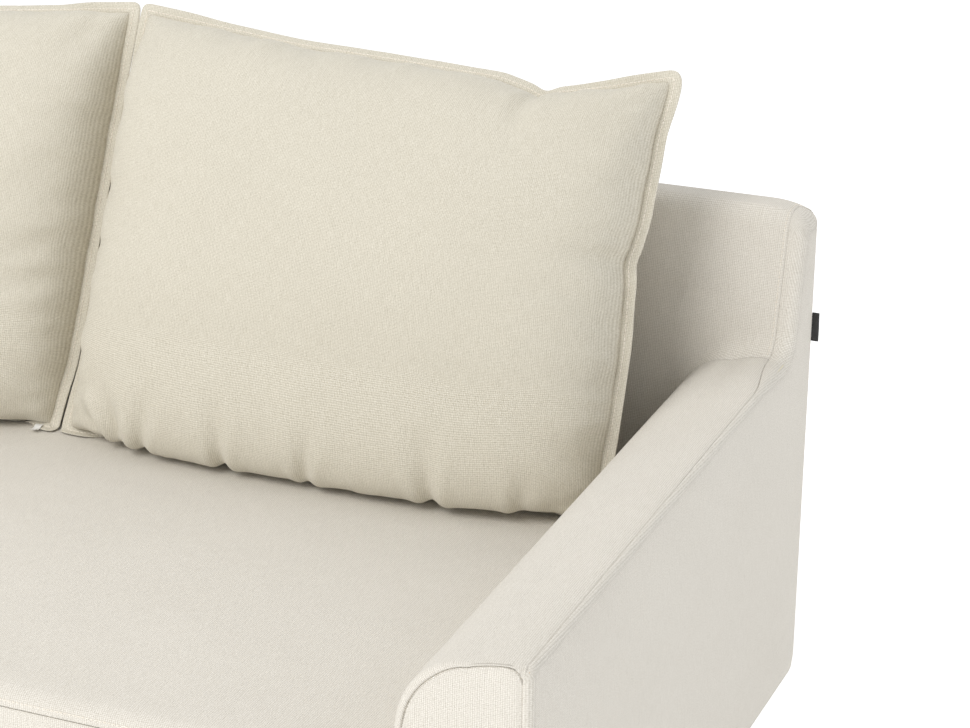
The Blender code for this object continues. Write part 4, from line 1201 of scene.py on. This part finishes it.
# Small gathers along the rim: a few sines of unlike length, strongest beside the seam and gone a
# few centimetres in.
def rimGathers(u, v, seed):
    rng = np.random.default_rng(seed)
    total = np.zeros_like(u)
    for distance, along, reach in ((1 - np.abs(u), v * 0.25, 0.33), (1 - np.abs(v), u * 0.33, 0.25)):
        near = np.exp(-distance * reach / 0.020) * (1 - np.exp(-distance * reach / 0.0035))
        waves = np.zeros_like(u)
        for length in (0.023, 0.034, 0.052, 0.081):
            phase = rng.uniform(0, 6.28, 2)
            bend = 1.6 * np.sin(along / 0.11 + phase[1])
            waves += np.sin(2 * np.pi * along / length + phase[0] + bend) * (length / 0.05) ** 1.2
        total += near * waves
    return total * pillow["gather"]


# Each inner point moves half way to the mean of its four neighbours.
def blurGrid(grid, times):
    for _ in range(times):
        around = grid[1:-1, 1:-1] * 4 + grid[:-2, 1:-1] + grid[2:, 1:-1]
        inner = (around + grid[1:-1, :-2] + grid[1:-1, 2:]) / 8
        grid = grid.copy()
        grid[1:-1, 1:-1] = inner
    return grid


# One face of a cushion from its blown grid: fitted to the seam, the front sagged to a belly by a
# skewed half sine down its lowest quarter, then folded and gathered.
def shapeFace(name, grid, facing, seam, u, v, seed):
    onFront = facing < 0
    grid = blurGrid(grid, 2)
    grid[[0, -1], :, 1] *= 0.3
    grid[:, [0, -1], 1] *= 0.3
    grid = fitToSeam(grid, seam, u, v)
    folds = pillowFolds[name]
    if onFront:
        low = np.clip((pillow["bellyFrom"] - v) / (1 + pillow["bellyFrom"]), 0, 1)
        sag = np.sin(np.pi * low ** 1.3) * (1 - np.abs(u) ** 6)
        grid[..., 2] -= pillow["belly"] * sag
        grid[..., 1] += pillow["bellyBack"] * pillow["belly"] * sag * low ** 2
    else:
        folds = [(-x, z, 180 - heading, *rest) for x, z, heading, *rest in folds]
    inside = smooth01(np.minimum(1 - np.abs(u), 1 - np.abs(v)) * 12)
    sink = foldDepth(grid, folds) * (1 if onFront else 0.8)
    gathers = rimGathers(u, v, seed + (0 if onFront else 7))
    grid = grid - gridNormals(grid, facing) * (sink * inside - gathers)[..., None]
    if not onFront:
        # the rear lies flat along the zip
        onZip = np.exp(-((grid[..., 2] - pillow["zipUp"]) / 0.028) ** 2)
        onZip = onZip * smooth01((0.30 - np.abs(grid[..., 0])) / 0.08)
        onZip = onZip * smooth01((1 - np.abs(v)) * 14)
        grid[..., 1] += (pillow["zipDepth"] - grid[..., 1]) * np.minimum(onZip * 1.25, 1)
    return grid


# A cushion's cover and, a little smaller inside it, its filling.
def buildCushion(name, side, seed):
    edge, seam = pillowLoops(side)
    points, front, rear, u, v = inflatePillow(name, seed)
    points = points + [0, 0, pillow["middleUp"]]
    both = np.zeros_like(points)
    for index, facing in ((rear, 1), (front, -1)):
        both[index.ravel()] = shapeFace(name, points[index], facing, seam, u, v, seed).reshape(-1, 3)
    quads = np.vstack([gridQuads(front), gridQuads(rear)[:, ::-1]])
    placed = placePillow(both, side, tight=True)
    cloth = np.zeros((len(both), 2))
    sheet = np.stack([u * pillow["sheet"][0], v * pillow["sheet"][1]], -1).reshape(-1, 2)
    cloth[rear.ravel()] = cloth[front.ravel()] = sheet
    cover = makePiece("cushion_" + name, placed, quads, cloth, (0, 0, 0), cushionCloth)
    smoother = cover.modifiers.new("smoother", "SUBSURF")
    smoother.levels = smoother.render_levels = 1
    finishPiece(cover, "cushion_" + name, "cushion_fabric", "cushion_cover_" + name)

    centre = np.array([0, 0, 0.24])
    inner = (both - centre) * [0.965, 0.93, 0.955] + centre
    placed = placePillow(inner, side, tight=True) + [0, -0.001, 0.002]
    filling = makePiece("filling_" + name, placed, quads, cloth, (0, 0, 0), slotFinish["fibre_fill"])
    finishPiece(filling, "cushion_" + name, "fibre_fill", "cushion_fill_" + name)
    return edge, seam


# The flat flange: a thin rounded strip carried round the seam, waving by a few sines, turned back
# under the cushion below.
def buildFlange(name, side, edge, seam, seed):
    count = 700
    pick = np.linspace(0, len(edge), count + 1)[:-1].astype(int)
    start, out = seam[pick], edge[pick] - seam[pick]
    out = out / np.linalg.norm(out, axis=1, keepdims=True)
    run = np.linspace(0, 1, count + 1)[:-1]
    rng = np.random.default_rng(seed + 30)
    wave = sum(np.sin(2 * np.pi * k * run + rng.uniform(0, 6.28)) * rng.uniform(0.3, 1)
               for k in (7, 11, 17, 26, 39)) / 2.6
    low = smooth01((0.020 - start[:, 1]) / 0.015) * smooth01((0.305 - np.abs(start[:, 0])) / 0.05)
    halfThick = pillow["flangeThick"] / 2
    width = pillow["flange"]
    profile = [(-0.004, -halfThick), (0.0015, -halfThick * 1.1), (0.003, -halfThick * 0.8),
               (0.007, -halfThick), (width - 0.002, -halfThick), (width - 0.0004, -halfThick * 0.7),
               (width, 0)]
    profile = np.array(profile + [(d, -t) for d, t in profile[:-1]][::-1])
    reach, thick = profile[:, 0], profile[:, 1]
    share = np.clip(reach / width, 0, 1)
    tilt = smooth01((start[:, 1] - 0.40) / 0.04) * smooth01((0.28 - np.abs(start[:, 0])) / 0.07)
    behind = 0.9 * reach[None] * low[:, None] + 0.55 * reach[None] * tilt[:, None]
    across = start[:, :1] + out[:, :1] * reach[None]
    rise = out[:, 1:] * (1 - low[:, None]) * (1 - 0.2 * tilt[:, None]) + 0.40 * low[:, None]
    up = start[:, 1:] + rise * reach[None]
    waves = pillow["flangeWave"] * wave[:, None] * share[None] ** 1.5
    depth = thick[None] + behind + waves * (1 - low[:, None])
    local = np.stack([across, depth, up], -1)
    points = placePillow(local, side)
    # what would sink into the seat at the lower corners lies forward on it instead
    middle = placePillow(np.stack([across, depth - thick[None], up], -1), side)
    sunk = softPlus(seatTopZ + pillow["flangeFloor"] - middle[..., 2], 0.0008) * (1 - low[:, None])
    points[..., 2] += sunk
    points[..., 1] -= 0.9 * sunk
    faces = gridFaces(count, len(profile), closeRows=True, closeColumns=True)
    cloth = local[..., [0, 2]] * 1.05
    strip = makePiece("flange_" + name, points, faces, cloth, (0, 0, 0), cushionCloth)
    faceAway(strip, len(profile) * (count // 8) + 4, points[count // 8].mean(0))
    finishPiece(strip, "cushion_" + name, "cushion_fabric")
    last = len(profile) - 3
    for column, opposite, label in ((2, last, "front"), (last, 2, "rear")):
        normals = points[:, column] - points[:, opposite]
        line = points[:, column] + normals * 0.12
        normals /= np.linalg.norm(normals, axis=1, keepdims=True)
        stitchRun("flange_stitches_" + label + "_" + name, line, normals, "cushion_" + name,
                  "cushion_fabric", 0.0048, 1.15)


zipper = {
    "tape": 0.011,           # half its width
    "pitch": 0.0026,
    "coilLift": 0.0012,
    "coilApart": 0.0011,
    "coilSize": 0.8,
}


# The zip: a tape of raised section runs along the rear face under two rows of coils; the slider
# rides on them.
def buildZip(name, side):
    x = np.linspace(-pillow["zipHalf"] - 0.01, pillow["zipHalf"] + 0.01, 120)
    lift = np.array([-0.0012, 0.0004, 0.0009, 0.0009, 0.0004, -0.0012])
    across = np.array([-1, -0.85, -0.12, 0.12, 0.85, 1]) * zipper["tape"]
    tape = np.stack([x[:, None] + 0 * across, pillow["zipDepth"] + lift + 0 * x[:, None],
                     pillow["zipUp"] + across + 0 * x[:, None]], -1)
    points = placePillow(tape, side)
    strip = sheetPiece("zip_tape_" + name, points, (0, 1, -0.4), nylonFinish, 0.0006)
    finishPiece(strip, "cushion_" + name, "nylon")
    up = placePillow(np.array([[0, 1.0, 0]]), side) - placePillow(np.array([[0, 0, 0]]), side)
    x = x[6:-6]
    for row, offset in (("upper", zipper["coilApart"]), ("lower", -zipper["coilApart"])):
        depth = 0 * x + pillow["zipDepth"] + zipper["coilLift"]
        line = placePillow(np.stack([x, depth, 0 * x + pillow["zipUp"] + offset], 1), side)
        coil = stitchRun("zip_coil_" + row + "_" + name, line, np.tile(up, (len(line), 1)),
                         "cushion_" + name, "nylon", zipper["pitch"], zipper["coilSize"])
        coil.data.materials[0] = nylonFinish
    buildSlider(name)


slider = {
    "length": 0.0048,
    "width": 0.0034,
    "waist": 0.28,
    "tabWidth": 0.0024,
    "tabLength": 0.0080,
    "tabDrop": 0.0075,
}


# A slider: a waisted plate (a rounded square of power 0.6, narrowed by a cosine) over the coils,
# and an oval pull tab hanging from it. Each is four rings at rising levels, closed at both ends.
def buildSlider(name):
    low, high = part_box("zip_slider_" + name)
    centre = np.array((low + high) / 2)
    c, s = math.cos(pillow["lean"]), math.sin(pillow["lean"])
    away, upward = np.array([0, c, -s]), np.array([0, s, c])
    angle = np.linspace(0, 2 * math.pi, 49)[:-1]
    plate = np.stack([slider["length"] * np.sign(np.cos(angle)) * np.abs(np.cos(angle)) ** 0.6,
                      slider["width"] * np.sin(angle) * (1 - slider["waist"] * np.cos(angle * 2))], 1)
    angle = np.linspace(0, 2 * math.pi, 41)[:-1]
    tab = np.stack([slider["tabWidth"] * np.cos(angle) * (1 + 0.35 * np.sin(angle - math.pi)),
                    slider["tabLength"] * np.sin(angle) - slider["tabDrop"]], 1)
    parts = [(plate, (-0.0026, -0.0021, 0.0007, 0.0012), (0.82, 1, 1, 0.8)),
             (tab, (0.0014, 0.0018, 0.0024, 0.0028), (0.9, 1, 1, 0.9))]
    points, faces = np.zeros((0, 3)), []
    for flat, levels, sizes in parts:
        first, count = len(points), len(flat)
        middle = flat.mean(0)
        rings = np.array([np.column_stack([(flat - middle) * size + middle, np.full(count, level)])
                          for level, size in zip(levels, sizes)])
        placed = centre + rings[..., :1] * [1, 0, 0] + rings[..., 1:2] * upward + rings[..., 2:] * away
        points = np.vstack([points, placed.reshape(-1, 3)])
        faces += (gridFaces(4, count, closeColumns=True) + first).tolist()
        faces.append(list(range(first, first + count))[::-1])
        faces.append(list(range(first + 3 * count, first + 4 * count)))
    obj = makePiece("zip_pull_" + name, points, faces, points[:, :2], (0, 0, 0), zincFinish)
    faceAway(obj, 0, centre)
    finishPiece(obj, "zip_" + name, "zinc", "zip_slider_" + name)


for name, side in sides.items():
    seed = 11 if side > 0 else 23
    edge, seam = buildCushion(name, side, seed)
    buildFlange(name, side, edge, seam, seed)
    buildZip(name, side)
print("cushions made")


label = {"halfWidth": 0.0046, "length": 0.023, "place": -0.036, "lift": 0.0060}


# The care label: a strip that leaves the left cushion's lower seam and lies forward on the seat,
# narrowing a little, with a sine along it.
def buildLabel():
    across = np.linspace(-label["halfWidth"], label["halfWidth"], 9)
    run = np.linspace(0, 1, 18)[:, None]
    x = label["place"] + across * (1 - 0.1 * run) + 0.004 * run
    y = rearY - pillow["aheadOfRear"] - 0.002 - label["length"] * run + 0.02 * across
    z = seatTopZ + label["lift"] + 0.0010 * np.sin(run * 7) + 0.002 * run ** 2 + 0.05 * across * run
    strip = sheetPiece("care_label", np.stack([x, y, z], -1), (0, 0, 1), labelFinish, 0.0004)
    finishPiece(strip, "cushion_left", "cushion_fabric")


buildLabel()

# Frame parts that stay as they are get their slot's finish.
for part in frame["record"]["subparts"]:
    node = frame["nodes"][part["node"]]
    for place in node.material_slots:
        place.material = slotFinish[part["material_slot"]]
print("frame finishes set")

view = {"yaw": 22.65, "pitch": 20.32, "roll": 0.52, "lens": 94.6, "place": (1.488, -2.191, 1.513)}

# Each lamp's place, what it looks at, its size, power and colour
lamps = {
    "keyLight": ((-0.6, -2.8, 3.5), (0.1, 0, 0.5), 2.3, 84, (1, 0.99, 0.975)),
    "fillLight": ((-2.6, -3.0, 2.1), (0, 0, 0.5), 2.6, 22, (1, 1, 1)),
    "sideLight": ((4.2, 0.3, 2.2), (0.6, 0, 0.5), 2.6, 17, (1, 1, 1)),
    "rearLight": ((0.2, 2.4, 3.6), (0, 0, 0.6), 2.2, 26, (1, 1, 1)),
}
room = {"colour": (0.98, 0.99, 1, 1), "strength": 0.62, "floorGlow": 0.42}


# A pale, faintly mottled floor that glows a little, so that it stays near white.
def buildFloor():
    material, tree, shader = newMaterial("paleFloor", (0.90, 0.90, 0.90), 0.9)
    shader.inputs["Specular IOR Level"].default_value = 0.1
    shader.inputs["Emission Color"].default_value = (1, 1, 1, 1)
    shader.inputs["Emission Strength"].default_value = room["floorGlow"]
    coords = tree.nodes.new("ShaderNodeTexCoord")
    mottle = addNode(tree, "ShaderNodeTexNoise", Scale=3.0, Detail=2.0)
    link(tree, coords.outputs["Object"], mottle.inputs["Vector"])
    colour = mixColour(tree, mottle.outputs["Fac"], (0.885, 0.885, 0.885), (0.915, 0.915, 0.915))
    link(tree, colour, shader.inputs["Base Color"])
    mesh = bpy.data.meshes.new("floor")
    mesh.from_pydata([(-30, -30, 0), (30, -30, 0), (30, 30, 0), (-30, 30, 0)], [], [(0, 1, 2, 3)])
    mesh.materials.append(material)
    floor = bpy.data.objects.new("floor", mesh)
    scene.collection.objects.link(floor)


def addLight(name, place, aim, size, power, colour):
    lamp = bpy.data.lights.new(name, "AREA")
    lamp.shape = "DISK"
    lamp.size = size
    lamp.energy = power
    lamp.color = colour
    obj = bpy.data.objects.new(name, lamp)
    obj.location = place
    obj.rotation_euler = (Vector(aim) - Vector(place)).to_track_quat("-Z", "Y").to_euler()
    scene.collection.objects.link(obj)


# Floor, room, lamps and the camera, which is turned by its yaw, pitch and roll in degrees.
def setStage():
    buildFloor()
    world = bpy.data.worlds.new("soft white room")
    world.use_nodes = True
    background = world.node_tree.nodes["Background"]
    background.inputs["Color"].default_value = room["colour"]
    background.inputs["Strength"].default_value = room["strength"]
    scene.world = world
    for name, setting in lamps.items():
        addLight(name, *setting)
    scene.view_settings.view_transform = "Standard"

    yaw, pitch, roll = (math.radians(view[key]) for key in ("yaw", "pitch", "roll"))
    ahead = math.cos(pitch)
    forward = Vector((-math.sin(yaw) * ahead, math.cos(yaw) * ahead, -math.sin(pitch)))
    level = Vector((math.cos(yaw), math.sin(yaw), 0))
    upward = level.cross(forward)
    right = level * math.cos(roll) + upward * math.sin(roll)
    upward = upward * math.cos(roll) - level * math.sin(roll)
    turn = Matrix((right, upward, -forward)).transposed().to_4x4()
    lens = bpy.data.cameras.new("camera")
    lens.lens = view["lens"]
    lens.sensor_width = 36
    camera = bpy.data.objects.new("camera", lens)
    camera.matrix_world = Matrix.Translation(view["place"]) @ turn
    scene.collection.objects.link(camera)
    scene.camera = camera


setStage()
